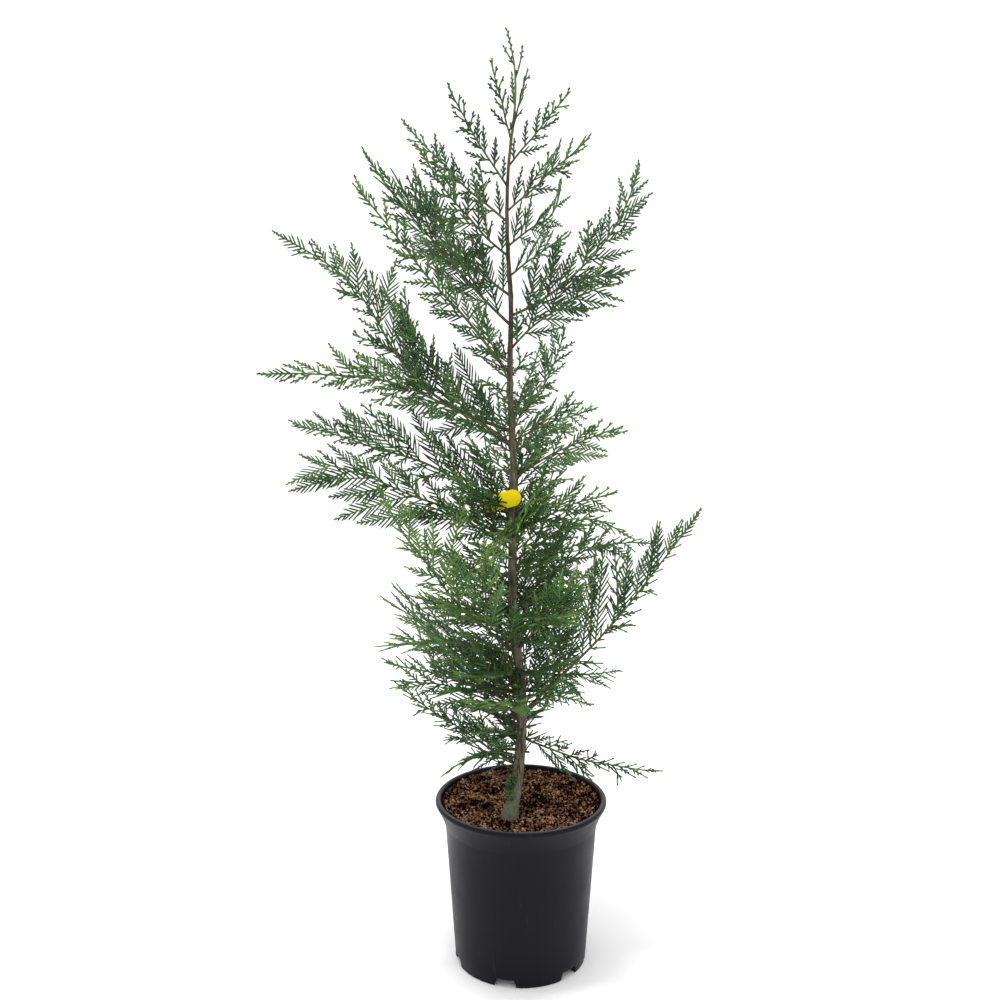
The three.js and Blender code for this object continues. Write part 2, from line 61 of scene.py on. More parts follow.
# Pot
POT_HEIGHT = 190
RIM_RADIUS = 95
LIP_WIDTH = 6.5
LIP_DEPTH = 7
LIP_START = -50
LIP_STEPS = 14
# Height from which the lip's top is painted lighter, as a painted highlight
LIP_HIGHLIGHT_START = 189
COLLAR_DROP = 20
COLLAR_BEND_DROP = 18
COLLAR_BEND_RADIUS = 87.5
COLLAR_RADIUS = 85.5
COLLAR_STEPS = 10
SHOULDER_DROP = 30
SHOULDER_RADIUS = 84
WALL_RINGS = (0.1, 0.4, 0.7)
BASE_RADIUS = 73.5
WALL = 2
SKIRT_WIDTH = 7
SKIRT_EDGE = 1.5
SKIRT_EDGE_BEND = 0.3
CHANNEL_HEIGHT = 10
PAD_RADIUS = 44
PAD_SLOPE = 5
POT_SEGMENTS = 128
POT_BEVEL = 0.5
POT_BEVEL_ANGLE = 48
POT_SMOOTH_ANGLE = 40

# Drainage notches in the pot's skirt
NOTCH_COUNT = 6
NOTCH_FOOT_WIDTH = 25
NOTCH_TOP_WIDTH = 20
NOTCH_HEIGHT = 9.5
NOTCH_OVERCUT = 5
NOTCH_FIRST_ANGLE = -104

# Peat: a bumpy bed with clods on it, its bumps calm round the trunk's foot and along the wall
SOIL_LEVEL = 185.5
SOIL_BUMP = 1.8
SOIL_BUMP_PITCH = 27
SOIL_BUMP_PHASE = 1
SOIL_EDGE_RADIUS = 88
SOIL_DEPTH = 25
SOIL_FOOT_INSET = 1.5
SOIL_RINGS = 60
SOIL_INNERMOST_RING = 0.01
SOIL_SEGMENTS = 150
SOIL_SMOOTH_ANGLE = 60
CALM_BY_TRUNK = (14, 28)
CALM_BY_WALL = (0, 16)
CLOD_FREQUENCY = 0.11
CLOD_SLICE = 3
CLOD_LAYERS = (0.6, 2.1, 5)
CLOD_HEIGHT = 1.3

# Crumbs on the peat. A lump starts as a twenty-sided ball of radius 1, whose sides are shorter
# than BALL_SIDE_MOST
CRUMB_SEED = 41
CRUMB_COUNT = 12500
CRUMB_LEAST = 0.45
CRUMB_MOST = 1.7
CRUMB_SIZE_POWER = 2.6
CRUMB_RISE = 0.55
CRUMB_EDGE_GAP = 1
CRUMB_TRUNK_GAP = 8
CRUMB_PATCH = 0.055
CRUMB_PATCH_SLICE = 7
CRUMB_PATCH_PULL = 0.5
CRUMB_SHAPES = 7
CRUMB_CORNER_SHARES = (0.65, 1.2)
CRUMB_AXIS_SHARES = (0.7, 1.15)
BALL_SIDE_MOST = 1.2
DARK_CRUMBS = 0.42
PALE_CRUMBS = 0.86

# Fibres on the peat
FIBRE_COUNT = 130
FIBRE_RUN = (4, 10)
FIBRE_BEND = 1
FIBRE_RISE = 0.9
FIBRE_EDGE_GAP = 8
FIBRE_END_GAP = 2
FIBRE_RADII = (0.45, 0.55, 0.3)
FIBRE_SIDES = 5
PALE_FIBRES = 0.6

# The darkest and the lightest tone of each kind of peat
PEAT_TONES = {
    # The bed's near-black tones are partly the peat's own colour and partly painted shade for the gaps
    # between crumbs
    "bed": ((3, 1, 0), (22, 10, 6)),
    "dark": ((4, 1, 0), (30, 14, 9)),
    "red": ((86, 54, 37), (150, 106, 78)),
    "pale": ((146, 110, 84), (200, 164, 132)),
}

# Trunk
TRUNK_LINE = [
    (-13, -46, 185.5), (-5, -34, 222), (0, -25, 285), (-1, -20, 330), (-9, -16, 400), (-10, -12, 480),
    (-9, -10, 560), (-13, -7, 655), (-12, -5, 730), (-16, -4, 805), (-15, -3, 865), (-8, -1, 935),
    (-9, 0, 968), (-16, 0, 1001),
]
TRUNK_LINE_STEPS = 60
TRUNK_FOOT_RADIUS = 6
TRUNK_MID_RADIUS = 4.3
TRUNK_TIP_RADIUS = 0.7
TRUNK_MID_SHARE = 0.42
TRUNK_TAPER_POWER = 0.8
FLARE_RADIUS = 4
FLARE_HEIGHT = 16
TRUNK_SIDES = 24
TRUNK_STEPS = 420
TRUNK_SUNK = 5

# Bark: its ridges, and the swelling where a bough leaves the trunk
BARK_RELIEF = 0.09
BARK_RIDGES = 2.2
BARK_RIDGE_RUN = 0.045
BARK_LAYERS = (0.7, 2.2, 4)
SWELLING = 0.9
SWELLING_RUN = 4.5
SWELLING_LEAST_RADIUS = 2

# Heights, in metres, over which the bark stops being mossy, turns dark and turns green
MOSSY_BARK_END = (0.205, 0.245)
BARK_TURNS_DARK = (0.58, 0.76)
BARK_TURNS_GREEN = (0.87, 0.96)

# Label on the trunk
LABEL_HEIGHT = 531
LABEL_WIDTH = 18
LABEL_LENGTH = 42
LABEL_RIGHT = 8
LABEL_SHEET = 1
LABEL_BAND = 5
LABEL_SLACK = 1.6
LABEL_DIP = 16
LABEL_SEGMENTS = 40
LABEL_BEVEL = 0.3
LABEL_BAND_BEVEL = 0.25
LABEL_SMOOTH_ANGLE = 35
# The face of its round end (across, up, rearward), which twigs keep clear of
LABEL_FACE = (-12, 530, -10)
LABEL_ROOM = 10

# Boughs and twigs: the rule that the solids follow
BOUGH_STEPS = 200
STEM_ROOT_RADIUS = 0.75
STEM_RADIUS_SHARE = 0.0042
STEM_TIP_RADIUS = 0.7
STEM_TAPER = 0.7
STEM_SIDES = 7
STEM_STEP = 5
STEM_LEAST_STEPS = 4
STEM_END = 0.99
STEM_LAP = 0.01
STEM_RELIEF = 0.07
TWIG_SPREAD = 0.36
TWIG_SPREAD_LEAST = 20
TWIG_PROFILE_START = 0.7
TWIG_PROFILE_POWER = 0.7
TWIG_ANGLE = 43
TWIG_ANGLE_AT_TIP = 27
TWIG_ANGLE_DRIFT = 9
TWIG_ROLL_DRIFT = 18
STEEP = 0.22

# How much of a bough is brown, by the height of its foot, and how much of the rest is olive
BROWN_HEIGHTS = (300, 800)
BROWN_SHARES = (0.16, 0.04)
OLIVE_SHARE = 0.45

# The same rule carried on to finer twigs
LEAF_START = 4
LEAF_START_SHARE = 0.3
FINE_TWIG_PITCH = 5.0
FINE_TWIG_PITCH_SHARE = 0.12
FINE_TWIG_PITCH_DRIFT = 0.25
FINE_TWIG_DRIFT = 0.3
FINE_TWIG_LEAST = 8
TIP_TWIG_START = 0.87
BOUGH_WAVE = 0.006
BOUGH_WAVE_STEPS = 120
BOUGH_WAVE_TURNS = (1.2, 2.4)
TWIG_CURL = 0.06
TWIG_CURL_DRIFT = 0.13
TWIG_TWIST_DRIFT = 15
TWIG_RADIUS = 0.9
TWIG_TIP_SHARE = 0.8
TWIG_SIDES = 4
TWIG_STEPS = 5
TRUNK_CLEARANCE = 1.2

# Shoots on the twigs, and short ones on the bough itself
SHOOT_PITCH = 4.7
SHOOT_PITCH_SHARE = 0.012
SHOOT_START = 3
SHOOT_START_DRIFT = 0.5
SHOOT_SHARE = 0.3
SHOOT_SHARE_GROWTH = 0.0028
SHOOT_SHARE_MOST = 0.44
SHOOT_TAPER = 0.75
SHOOT_LENGTH_SHARES = (0.8, 1.15)
SHOOT_LEAST = 3.6
SHOOT_MOST = 21
SHOOT_ANGLE = 39
SHOOT_ANGLE_AT_TIP = 29
SHOOT_ANGLE_DRIFT = 6
SHOOT_TILT_DRIFT = 13
SHOOT_WIDTH = 1.02
SHOOT_WIDTH_SHARES = (0.88, 1.12)
SHOOT_BEND = 0.05
SHOOT_BEND_DRIFT = 0.1
SECOND_TINT_SHARE = 0.25
STEM_SHOOT_RUN = 34
STEM_SHOOT_PITCH = 5
STEM_SHOOT_START = 0.4
STEM_SHOOT_END = 0.86

# Buds crowded at a twig's tip, more of them high on the plant, where the last ones are bronze
BUD_PITCH = 5.6
BUD_RUN = 14
BUD_RUN_SHARE = 0.34
BUD_RUN_LEAST = 1.5
BUD_HEIGHTS = (450, 700)
BUD_SHARES = (0, 1)
BUD_LEANS = (20, 38)
BUD_LENGTH = 3.6
BUD_LENGTH_SHARES = (1.4, 0.7)
BUD_SIZE_SHARES = (0.8, 1.2)
BUD_WIDTH = 0.95
SIDE_BUD_SHARE = 0.9
TIP_BUD_LENGTH = 5.5
TIP_BUD_ROOT = 2.5
BRONZE_RUN = 4
BRONZE_LEAST_HEIGHT = 640

# Every bough, as in the solids: name, foot on the trunk, compass angle, reach, height of the tip,
# arch, sway, bare length and turn of its spray. Then what the solids leave out: how fresh its green
# is (0 deep, 1 young), the breadth of its spray over and under the stem, and the breadth kept at its tip
BOUGHS = [
    ("top_left", 895, 215, 25, 970, 0, 0, 15, 20, 0.3, 0.5, 0.5, 0.5),
    ("top_right", 905, 40, 20, 965, 0, 0, 10, -30, 0.3, 0.5, 0.5, 0.5),
    ("left_1", 850, 205, 65, 945, -0.05, 0, 15, 15, 0.35, 0.5, 0.5, 0.5),
    ("left_2", 815, 155, 120, 920, -0.05, 0, 20, -20, 0.38, 0.5, 0.55, 0.5),
    ("left_3", 780, 220, 115, 885, -0.1, 0, 20, 20, 0.4, 0.75, 0.75, 0.5),
    ("left_4", 740, 140, 140, 875, -0.15, 0, 25, -15, 0.4, 0.6, 1, 0.45),
    ("left_5", 710, 185, 150, 885, -0.05, 0, 45, 50, 0.38, 1.05, 0.65, 0.5),
    ("left_6", 660, 210, 175, 850, 0, 0, 55, 15, 0.44, 0.4, 0.35, 0.7),
    ("left_7", 600, 170, 255, 805, -0.05, 0.05, 55, -20, 0.4, 0.85, 0.5, 0.3),
    ("left_8", 585, 195, 260, 665, 0.2, 0, 45, 20, 0.5, 0.5, 0.35, 0.8),
    ("left_9", 515, 160, 265, 595, 0.1, 0, 50, 0, 0.34, 0.8, 0.4, 0.55),
    ("left_10", 485, 190, 220, 580, 0.05, 0, 55, -20, 0.38, 0.45, 0.65, 1.5),
    ("left_11", 360, 220, 180, 565, -0.1, 0, 60, 55, 0.68, 1.2, 0.45, 0.5),
    ("left_12", 300, 140, 165, 390, -0.35, -0.05, 35, 20, 0.44, 0.35, 0.3, 0.3),
    ("left_13", 315, 220, 180, 390, 0, 0, 35, -25, 0.44, 0.9, 0.25, 0.3),
    ("left_14", 240, 175, 135, 330, -0.05, 0, 35, 15, 0.42, 0.8, 0.6, 0.45),
    ("left_15", 255, 215, 100, 250, 0.2, 0, 25, 40, 0.4, 0.95, 0.6, 0.5),
    ("right_1", 870, 15, 65, 945, 0, 0, 15, 0, 0.34, 0.6, 0.6, 0.4),
    ("right_2", 825, -25, 90, 895, 0, 0, 20, 25, 0.38, 0.85, 0.7, 0.6),
    ("right_3", 790, 50, 90, 860, -0.25, -0.05, 20, -15, 0.42, 0.8, 0.9, 0.7),
    ("right_4", 760, -50, 90, 800, 0.05, 0, 20, 20, 0.34, 1, 0.7, 0.5),
    ("right_5", 720, 10, 135, 875, -0.25, 0, 50, 10, 0.36, 0.75, 0.85, 0.45),
    ("right_6", 685, -35, 130, 755, 0.15, 0, 25, -30, 0.32, 1, 0.7, 0.9),
    ("right_7", 615, 55, 105, 705, -0.25, 0, 30, 55, 0.36, 0.55, 0.3, 1.6),
    ("right_8", 590, -50, 125, 635, 0.05, 0, 25, 25, 0.46, 0.8, 0.8, 0.45),
    ("right_9", 550, 15, 120, 600, 0.1, 0, 35, -10, 0.56, 0.7, 1, 0.6),
    ("right_10", 460, -20, 130, 495, 0.4, 0.05, 35, 20, 0.46, 0.3, 0.6, 0.4),
    ("right_11", 405, 30, 185, 460, 0.3, 0, 45, -20, 0.46, 0.6, 0.75, 0.5),
    ("right_12", 295, -10, 185, 525, -0.05, 0, 75, 15, 0.4, 1, 0.25, 0.45),
    ("right_13", 365, -50, 115, 480, 0, 0, 30, -15, 0.52, 0.75, 0.75, 0.5),
    ("right_14", 340, 40, 155, 310, -0.05, 0, 30, 30, 0.42, 0.25, 0.8, 0.45),
    ("right_15", 320, -60, 135, 345, 0.05, 0, 30, 35, 0.44, 0.4, 0.4, 0.3),
    ("right_16", 270, 5, 155, 225, -0.1, 0, 30, 50, 0.2, 0.4, 0.6, 0.5),
    ("back_1", 650, 105, 140, 730, -0.05, 0, 25, 75, 0.4, 0.5, 0.5, 0.5),
    ("back_2", 610, 75, 140, 685, 0, 0, 25, 100, 0.4, 0.45, 0.45, 0.5),
    ("back_3", 500, 100, 165, 510, 0.1, 0, 25, 80, 0.35, 0.8, 0.8, 0.5),
    ("back_4", 400, 70, 170, 390, 0.1, 0, 30, 95, 0.3, 0.8, 0.8, 0.5),
    ("back_5", 325, 115, 170, 330, 0.05, 0, 30, 75, 0.3, 0.8, 0.8, 0.5),
    ("back_6", 275, 90, 135, 250, 0.05, 0, 25, 95, 0.3, 0.75, 0.75, 0.5),
    ("front_1", 500, 260, 100, 460, 0.25, 0, 30, 75, 0.8, 0.35, 1, 0.5),
    ("front_2", 295, 245, 130, 350, 0.05, 0, 30, 80, 0.82, 0.9, 0.9, 0.5),
    ("front_3", 400, 300, 130, 425, 0.05, 0, 30, 100, 0.5, 0.7, 0.7, 0.5),
    ("front_4", 640, 245, 70, 660, 0, 0, 20, 60, 0.5, 0.35, 0.35, 0.5),
]
# Boughs whose bare wood is a piece of its own in the solids
LIMBS = (
    "left_5", "left_6", "left_7", "left_8", "left_9", "left_10", "left_11", "left_14",
    "right_5", "right_9", "right_11", "right_12", "right_16",
)

# Small boughs round the label that the solids leave out: foot, compass angle, reach, height of the
# tip, arch, turn, freshness and breadth
SMALL_BOUGHS = [
    (500, -70, 60, 535, 0.1, 40, 0.8, 1.1),
    (485, -80, 50, 515, 0.1, 40, 0.8, 1.3),
    (490, -60, 50, 525, 0.1, 50, 0.7, 1.2),
    (485, -100, 45, 510, 0.1, 40, 0.75, 1.3),
    (495, -45, 60, 530, 0.1, 40, 0.65, 1.1),
    (505, 215, 60, 535, 0, 60, 0.2, 1),
    (515, 220, 70, 550, 0, 60, 0.2, 1),
    (490, -15, 110, 540, 0.1, 30, 0.48, 1),
]

# Side boughs, which long boughs carry out of the plane of their own spray
SIDE_BOUGH_LEAST = 100
SIDE_BOUGH_START = 0.2
SIDE_BOUGH_END = 0.7
SIDE_BOUGH_HEIGHTS = (350, 700)
SIDE_BOUGH_PITCH = (24, 34)
SIDE_BOUGH_PITCH_DRIFT = 0.3
SIDE_BOUGH_TURN = 20
SIDE_BOUGH_TURN_DRIFT = 25
SIDE_BOUGH_ANGLE = 38
SIDE_BOUGH_ANGLE_DRIFT = 10
SIDE_BOUGH_SHARE = 0.55
SIDE_BOUGH_DRIFT = 0.25
SIDE_BOUGH_ARCH = 0.06
SIDE_BOUGH_BREADTH = 0.55
SIDE_TIP_BREADTH = 0.6

# Inner boughs, which fill the crown: at each height their pitch up the trunk, their reach, their
# rise, how much longer they are on the left than on the right, and their freshness, set high as painted
# light against the shade inside the crown
INNER_HEIGHTS = (235, 275, 310, 360, 430, 500, 590, 640, 700)
INNER_PITCH = (3.4, 3.4, 3.4, 3.2, 3.6, 4.6, 7, 16, 24)
INNER_REACH = (34, 52, 86, 108, 86, 78, 44, 20, 16)
INNER_RISE = (0.5, 0.4, 0.35, 0.45, 0.5, 0.6, 0.7, 0.9, 1.0)
INNER_LEFTWARD = (0.85, 0.85, 0.5, 0.16, 0.08, 0.1, 0.1, 0.1, 0.1)
INNER_FRESH_AND_PAINTED_LIGHT = (0.36, 0.42, 0.54, 0.58, 0.57, 0.54, 0.48, 0.42, 0.4)
INNER_FIRST_TURN = 20
INNER_TURN = 137.5
INNER_REACH_DRIFT = 0.3
INNER_RISE_DRIFT = 0.3
INNER_ARCH_DRIFT = 0.14
INNER_ROLL_DRIFT = 20
INNER_LEAF_START = 6
INNER_BREADTHS = (0.8, 0.8, 0.7)
# None grows within this angle of the front, where the trunk shows
FRONT = 270
FRONT_KEPT_OPEN = 30

# Sprigs on the leader: foot, compass angle, reach, rise, and the share of the usual length that
# their shoots have. Then the buds at its very end
LEADER_SPRIGS = [(968, 190, 11, 17, 0.8), (955, -15, 11, 28, 0.4), (928, 120, 9, 32, 0.8)]
LEADER_FRESH = 0.3
LEADER_BUDS_START = 0.972
LEADER_BUD_COUNT = 8
LEADER_BUD_LEAN = 24
LEADER_BUD_LENGTH = 4

# Moss on the trunk's foot
MOSS_COUNT = 120
MOSS_HEIGHTS = (204, 227)
MOSS_COMPASS = (150, 265)
MOSS_LENGTH = 6.5
MOSS_LENGTH_DRIFT = 0.4
MOSS_RISE = (0, 1.4)
MOSS_ROOT_DEPTH = 0.9
MOSS_GREENS = ("shade", "leaf", "bright")

# Dead twigs low on the trunk
DEAD_TWIG_COUNT = 60
DEAD_TWIG_HEIGHTS = (228, 350)
DEAD_TWIG_COMPASS = 215
DEAD_TWIG_COMPASS_DRIFT = 60
DEAD_TWIG_LENGTH = 34
DEAD_TWIG_LENGTH_DRIFT = 0.45
DEAD_TWIG_RISE_DRIFT = 0.7
DEAD_TWIG_BEND = 3
DEAD_TWIG_RADII = (0.9, 0.5)
DEAD_TWIG_STEPS = 4

# Greens by how fresh a spray is, from the deepest, with the most freshness each is used for
GREENS = [
    ("dusk", 0.16, (56, 64, 46)),
    ("deep", 0.3, (44, 72, 47)),
    ("shade", 0.42, (57, 88, 52)),
    ("leaf", 0.55, (69, 101, 57)),
    ("bright", 0.7, (82, 112, 61)),
    ("young", 2.0, (98, 129, 62)),
]
BRONZE = (66, 68, 50)
LEAF_DARKER = 0.72
LEAF_LIGHTER = 1.25
FRESH_DRIFT = 0.16
FRESH_BY_PLACE = 0.2
RIB_FRESHER = 0.14
SHOOT_DULLER = 0.05

# The darker and the lighter tone of a bough's skin, from its foot to its tip
BOUGH_TONES = {
    "brown": ((54, 46, 38), (88, 76, 62)),
    "olive": ((58, 72, 40), (92, 100, 54)),
    "green": ((50, 80, 44), (76, 108, 54)),
}

# Seeds, and the steps of the generator that draws from them
BOUGH_SEED_STEP = 7919
MAIN_BOUGH_SEED = 17
SMALL_BOUGH_SEED = 30011
INNER_BOUGH_SEED = 50021
INNER_DRAW_SEED = 977
SIDE_BOUGH_SEEDS = 1000000
LEADER_DRAW_SEED = 4242
LEADER_SHOOT_SEED = 77
MOSS_SEED = 88
DEAD_TWIG_SEED = 613
DRAW_FACTOR = 1664525
DRAW_STEP = 1013904223
DRAW_RANGE = 4294967296

UP = np.array((0.0, 0.0, 1.0))
REARWARD = np.array((0.0, 1.0, 0.0))


# Draws and small sums

def seeded(seed):
    """The same draws in the same order on every run."""
    state = seed
    while True:
        state = (state * DRAW_FACTOR + DRAW_STEP) % DRAW_RANGE
        yield state / DRAW_RANGE


def drift(draws, most):
    return (next(draws) * 2 - 1) * most


def around(random, count, most):
    return random.uniform(-most, most, count)


def unit(vectors):
    vectors = np.asarray(vectors, float)
    return vectors / np.linalg.norm(vectors, axis=-1, keepdims=True)


def square_part(way, direction):
    """What one direction has square to another."""
    return unit(way - direction * np.dot(way, direction))


def alternate_hands(count):
    """One hand and the other in turn, for each of a row of directions."""
    return np.where(np.arange(count) % 2, 1.0, -1.0)[:, None]


def lerp(first, last, share):
    return first + (last - first) * share


def smoothstep(value, low, high):
    share = np.clip((value - low) / (high - low), 0, 1)
    return share * share * (3 - 2 * share)


def tint(red, green, blue):
    """A colour as a screen shows it, as the renderer counts light."""
    shares = (channel / 255 for channel in (red, green, blue))
    return tuple(
        share / 12.92 if share <= 0.04045 else ((share + 0.055) / 1.055) ** 2.4 for share in shares
    ) + (1.0,)


# Lines

class Line:
    """A curve as many short steps, read by the share of its length."""

    def __init__(self, points):
        self.points = np.asarray(points, float)
        steps = np.linalg.norm(np.diff(self.points, axis=0), axis=1)
        self.travelled = np.concatenate([[0], np.cumsum(steps)])
        self.length = self.travelled[-1]

    def at(self, share):
        wanted = np.asarray(share) * self.length
        return np.stack([np.interp(wanted, self.travelled, self.points[:, i]) for i in range(3)], axis=-1)

    def along(self, share, near=0.01):
        share = np.asarray(share)
        return unit(self.at(np.minimum(share + near, 1)) - self.at(np.maximum(share - near, 0)))

    def share_at_height(self, height):
        return np.interp(height, self.points[:, 2], self.travelled) / self.length


def smooth_line(points, steps):
    """A curve through points that keeps its bends gentle where points lie close together."""
    points = [np.array(point, float) for point in points]
    points = [2 * points[0] - points[1], *points, 2 * points[-1] - points[-2]]
    made = []
    for before, start, end, after in zip(points, points[1:], points[2:], points[3:]):
        gaps = [np.linalg.norm(gap) ** 0.5 for gap in (start - before, end - start, after - end)]
        last, own, following = gaps
        leave = ((start - before) / last - (end - before) / (last + own) + (end - start) / own) * own
        arrive = (
            (end - start) / own - (after - start) / (own + following) + (after - end) / following
        ) * own
        for step in range(steps):
            t = step / steps
            made.append(
                (2 * t**3 - 3 * t**2 + 1) * start + (t**3 - 2 * t**2 + t) * leave
                + (3 * t**2 - 2 * t**3) * end + (t**3 - t**2) * arrive
            )
    made.append(points[-2])
    return Line(made)


def frame_at(along):
    """Two directions square to a line: level across it, and over it."""
    side = np.cross(UP, along)
    if np.linalg.norm(side) < STEEP:
        side = REARWARD - along * along[1]
    side = unit(side)
    return side, np.cross(along, side)


def spread_way(along, roll):
    """The way a spray spreads: square to its bough, turned about it from upright."""
    side, over = frame_at(along)
    turn = math.radians(roll)
    return over * math.cos(turn) + side * math.sin(turn)


trunk_line = smooth_line(TRUNK_LINE, TRUNK_LINE_STEPS)


def trunk_radius(share):
    share = np.asarray(share, float)
    flare = FLARE_RADIUS * np.exp(-share * trunk_line.length / FLARE_HEIGHT)
    lower = lerp(TRUNK_FOOT_RADIUS, TRUNK_MID_RADIUS, share / TRUNK_MID_SHARE) + flare
    upper = np.clip((share - TRUNK_MID_SHARE) / (1 - TRUNK_MID_SHARE), 0, 1)
    higher = lerp(TRUNK_MID_RADIUS, TRUNK_TIP_RADIUS, upper**TRUNK_TAPER_POWER)
    return np.where(share < TRUNK_MID_SHARE, lower, higher)


def on_trunk(height):
    return trunk_line.at(trunk_line.share_at_height(height))


def bough_line(start, compass, reach, tip, arch, sway=0):
    """A bough from its foot to its tip: it arches over (or sags), and sways below and above its arch."""
    turn = math.radians(compass)
    end = np.array((start[0] + reach * math.cos(turn), start[1] + reach * math.sin(turn), tip))
    chord = end - start
    length = np.linalg.norm(chord)
    chord = chord / length
    over = unit(UP - chord * chord[2])
    middle = (start + end) / 2 + over * arch * length
    t = np.linspace(0, 1, BOUGH_STEPS)[:, None]
    curve = (1 - t) ** 2 * start + 2 * t * (1 - t) * middle + t**2 * end
    return Line(curve - over * sway * length * np.sin(2 * math.pi * t))


# Many small closed shapes in one mesh

class Heap:
    """Vertices and triangles that pile up and end as one piece."""

    def __init__(self):
        self.vertices = []
        self.faces = []
        self.count = 0

    def add(self, vertices, faces):
        self.vertices.append(vertices.reshape(-1, 3))
        self.faces.append(faces + self.count)
        self.count += len(self.vertices[-1])

    def add_copies(self, shape, roots, along, across, lengths, widths, bends):
        """A unit shape set out from each root: its length along, its width across."""
        vertices, faces = shape
        facing = np.cross(along, across)
        runs = vertices[:, 0] * lengths[:, None]
        sides = vertices[:, 1] * widths[:, None] + (bends * lengths)[:, None] * vertices[:, 0] ** 2
        rises = vertices[:, 2] * widths[:, None]
        placed = (
            roots[:, None] + along[:, None] * runs[..., None]
            + across[:, None] * sides[..., None] + facing[:, None] * rises[..., None]
        )
        firsts = np.arange(len(roots)) * len(vertices)
        self.add(placed, (faces[None] + firsts[:, None, None]).reshape(-1, 3))

    def piece(self, name, material, smooth=True):
        vertices = np.concatenate(self.vertices) * MM
        faces = np.concatenate(self.faces)
        mesh = bpy.data.meshes.new(name)
        mesh.vertices.add(len(vertices))
        mesh.vertices.foreach_set("co", vertices.astype(np.float32).ravel())
        mesh.loops.add(faces.size)
        mesh.loops.foreach_set("vertex_index", faces.astype(np.int32).ravel())
        mesh.polygons.add(len(faces))
        mesh.polygons.foreach_set("loop_start", np.arange(0, faces.size, 3, dtype=np.int32))
        mesh.polygons.foreach_set("use_smooth", np.full(len(faces), smooth))
        mesh.update(calc_edges=True)
        mesh.materials.append(material)
        piece = bpy.data.objects.new(name, mesh)
        bpy.context.collection.objects.link(piece)
        return piece


def spindle(rings, flatness):
    """A closed four-sided shape from a root point through rings (place, half width) to a tip."""
    vertices = [(0, 0, 0)]
    for place, half in rings:
        thin = half * flatness
        vertices += [(place, half, 0), (place, 0, thin), (place, -half, 0), (place, 0, -thin)]
    vertices.append((1, 0, 0))
    faces = []
    tip = len(vertices) - 1
    for k in range(4):
        following = (k + 1) % 4
        faces.append((0, 1 + following, 1 + k))
        for ring in range(len(rings) - 1):
            low = 1 + ring * 4
            high = low + 4
            faces.append((low + k, low + following, high + following))
            faces.append((low + k, high + following, high + k))
        faces.append((tip - 4 + k, tip - 4 + following, tip))
    return np.array(vertices, float), np.array(faces)


SHOOT_SHAPE = spindle([(0.08, 0.9), (0.75, 0.8)], 0.7)
BUD_SHAPE = spindle([(0.1, 0.75), (0.75, 1.0)], 0.7)


def tube(places, radii, sides, relief=None):
    """A closed tapering tube through places, with an outward relief for each ring and side."""
    along = unit(np.gradient(places, axis=0))
    reference = np.eye(3)[np.argmin(np.abs(along.mean(axis=0)))]
    side = unit(np.cross(reference, along))
    over = np.cross(along, side)
    turns = np.arange(sides) * 2 * math.pi / sides
    reach = np.asarray(radii, float)[:, None] * (1 if relief is None else 1 + relief)
    ring = side[:, None] * np.cos(turns)[None, :, None] + over[:, None] * np.sin(turns)[None, :, None]
    shell = places[:, None] + ring * reach[..., None]
    steps = len(places)
    k = np.arange(sides)
    following = (k + 1) % sides
    faces = []
    for i in range(steps - 1):
        low = i * sides
        high = low + sides
        faces.append(np.stack([low + k, low + following, high + following], axis=1))
        faces.append(np.stack([low + k, high + following, high + k], axis=1))
    end = (steps - 1) * sides
    foot_middle = steps * sides
    tip_middle = foot_middle + 1
    faces.append(np.stack([following, k, np.full(sides, foot_middle)], axis=1))
    faces.append(np.stack([end + k, end + following, np.full(sides, tip_middle)], axis=1))
    vertices = np.concatenate([shell.reshape(-1, 3), places[:1], places[-1:]])
    return vertices, np.concatenate(faces)


# Shader sums

class Flow:
    """A node's output. Used in a sum, it adds the Math nodes for it."""

    def __init__(self, tree, socket):
        self.tree = tree
        self.socket = socket

    def sum(self, operation, first, second):
        return add_node(self.tree, "ShaderNodeMath", {"operation": operation}, {0: first, 1: second})

    def __add__(self, other):
        return self.sum("ADD", self, other)

    __radd__ = __add__

    def __mul__(self, other):
        return self.sum("MULTIPLY", self, other)

    __rmul__ = __mul__

    def __sub__(self, other):
        return self.sum("SUBTRACT", self, other)

    def __rsub__(self, other):
        return self.sum("SUBTRACT", other, self)


def add_node(tree, kind, settings=None, sockets=None, output=0):
    """Any node: its settings first, then the values or links of its sockets."""
    node = tree.nodes.new(kind)
    for name, value in (settings or {}).items():
        setattr(node, name, value)
    for name, value in (sockets or {}).items():
        if isinstance(value, Flow):
            tree.links.new(value.socket, node.inputs[name])
        else:
            node.inputs[name].default_value = value
    return Flow(tree, node.outputs[output])


# A Mix node has several sockets of each name: these are the ones that mix colours
MIX_SHARE = 0
MIX_FIRST = 6
MIX_SECOND = 7
MIX_RESULT = 2


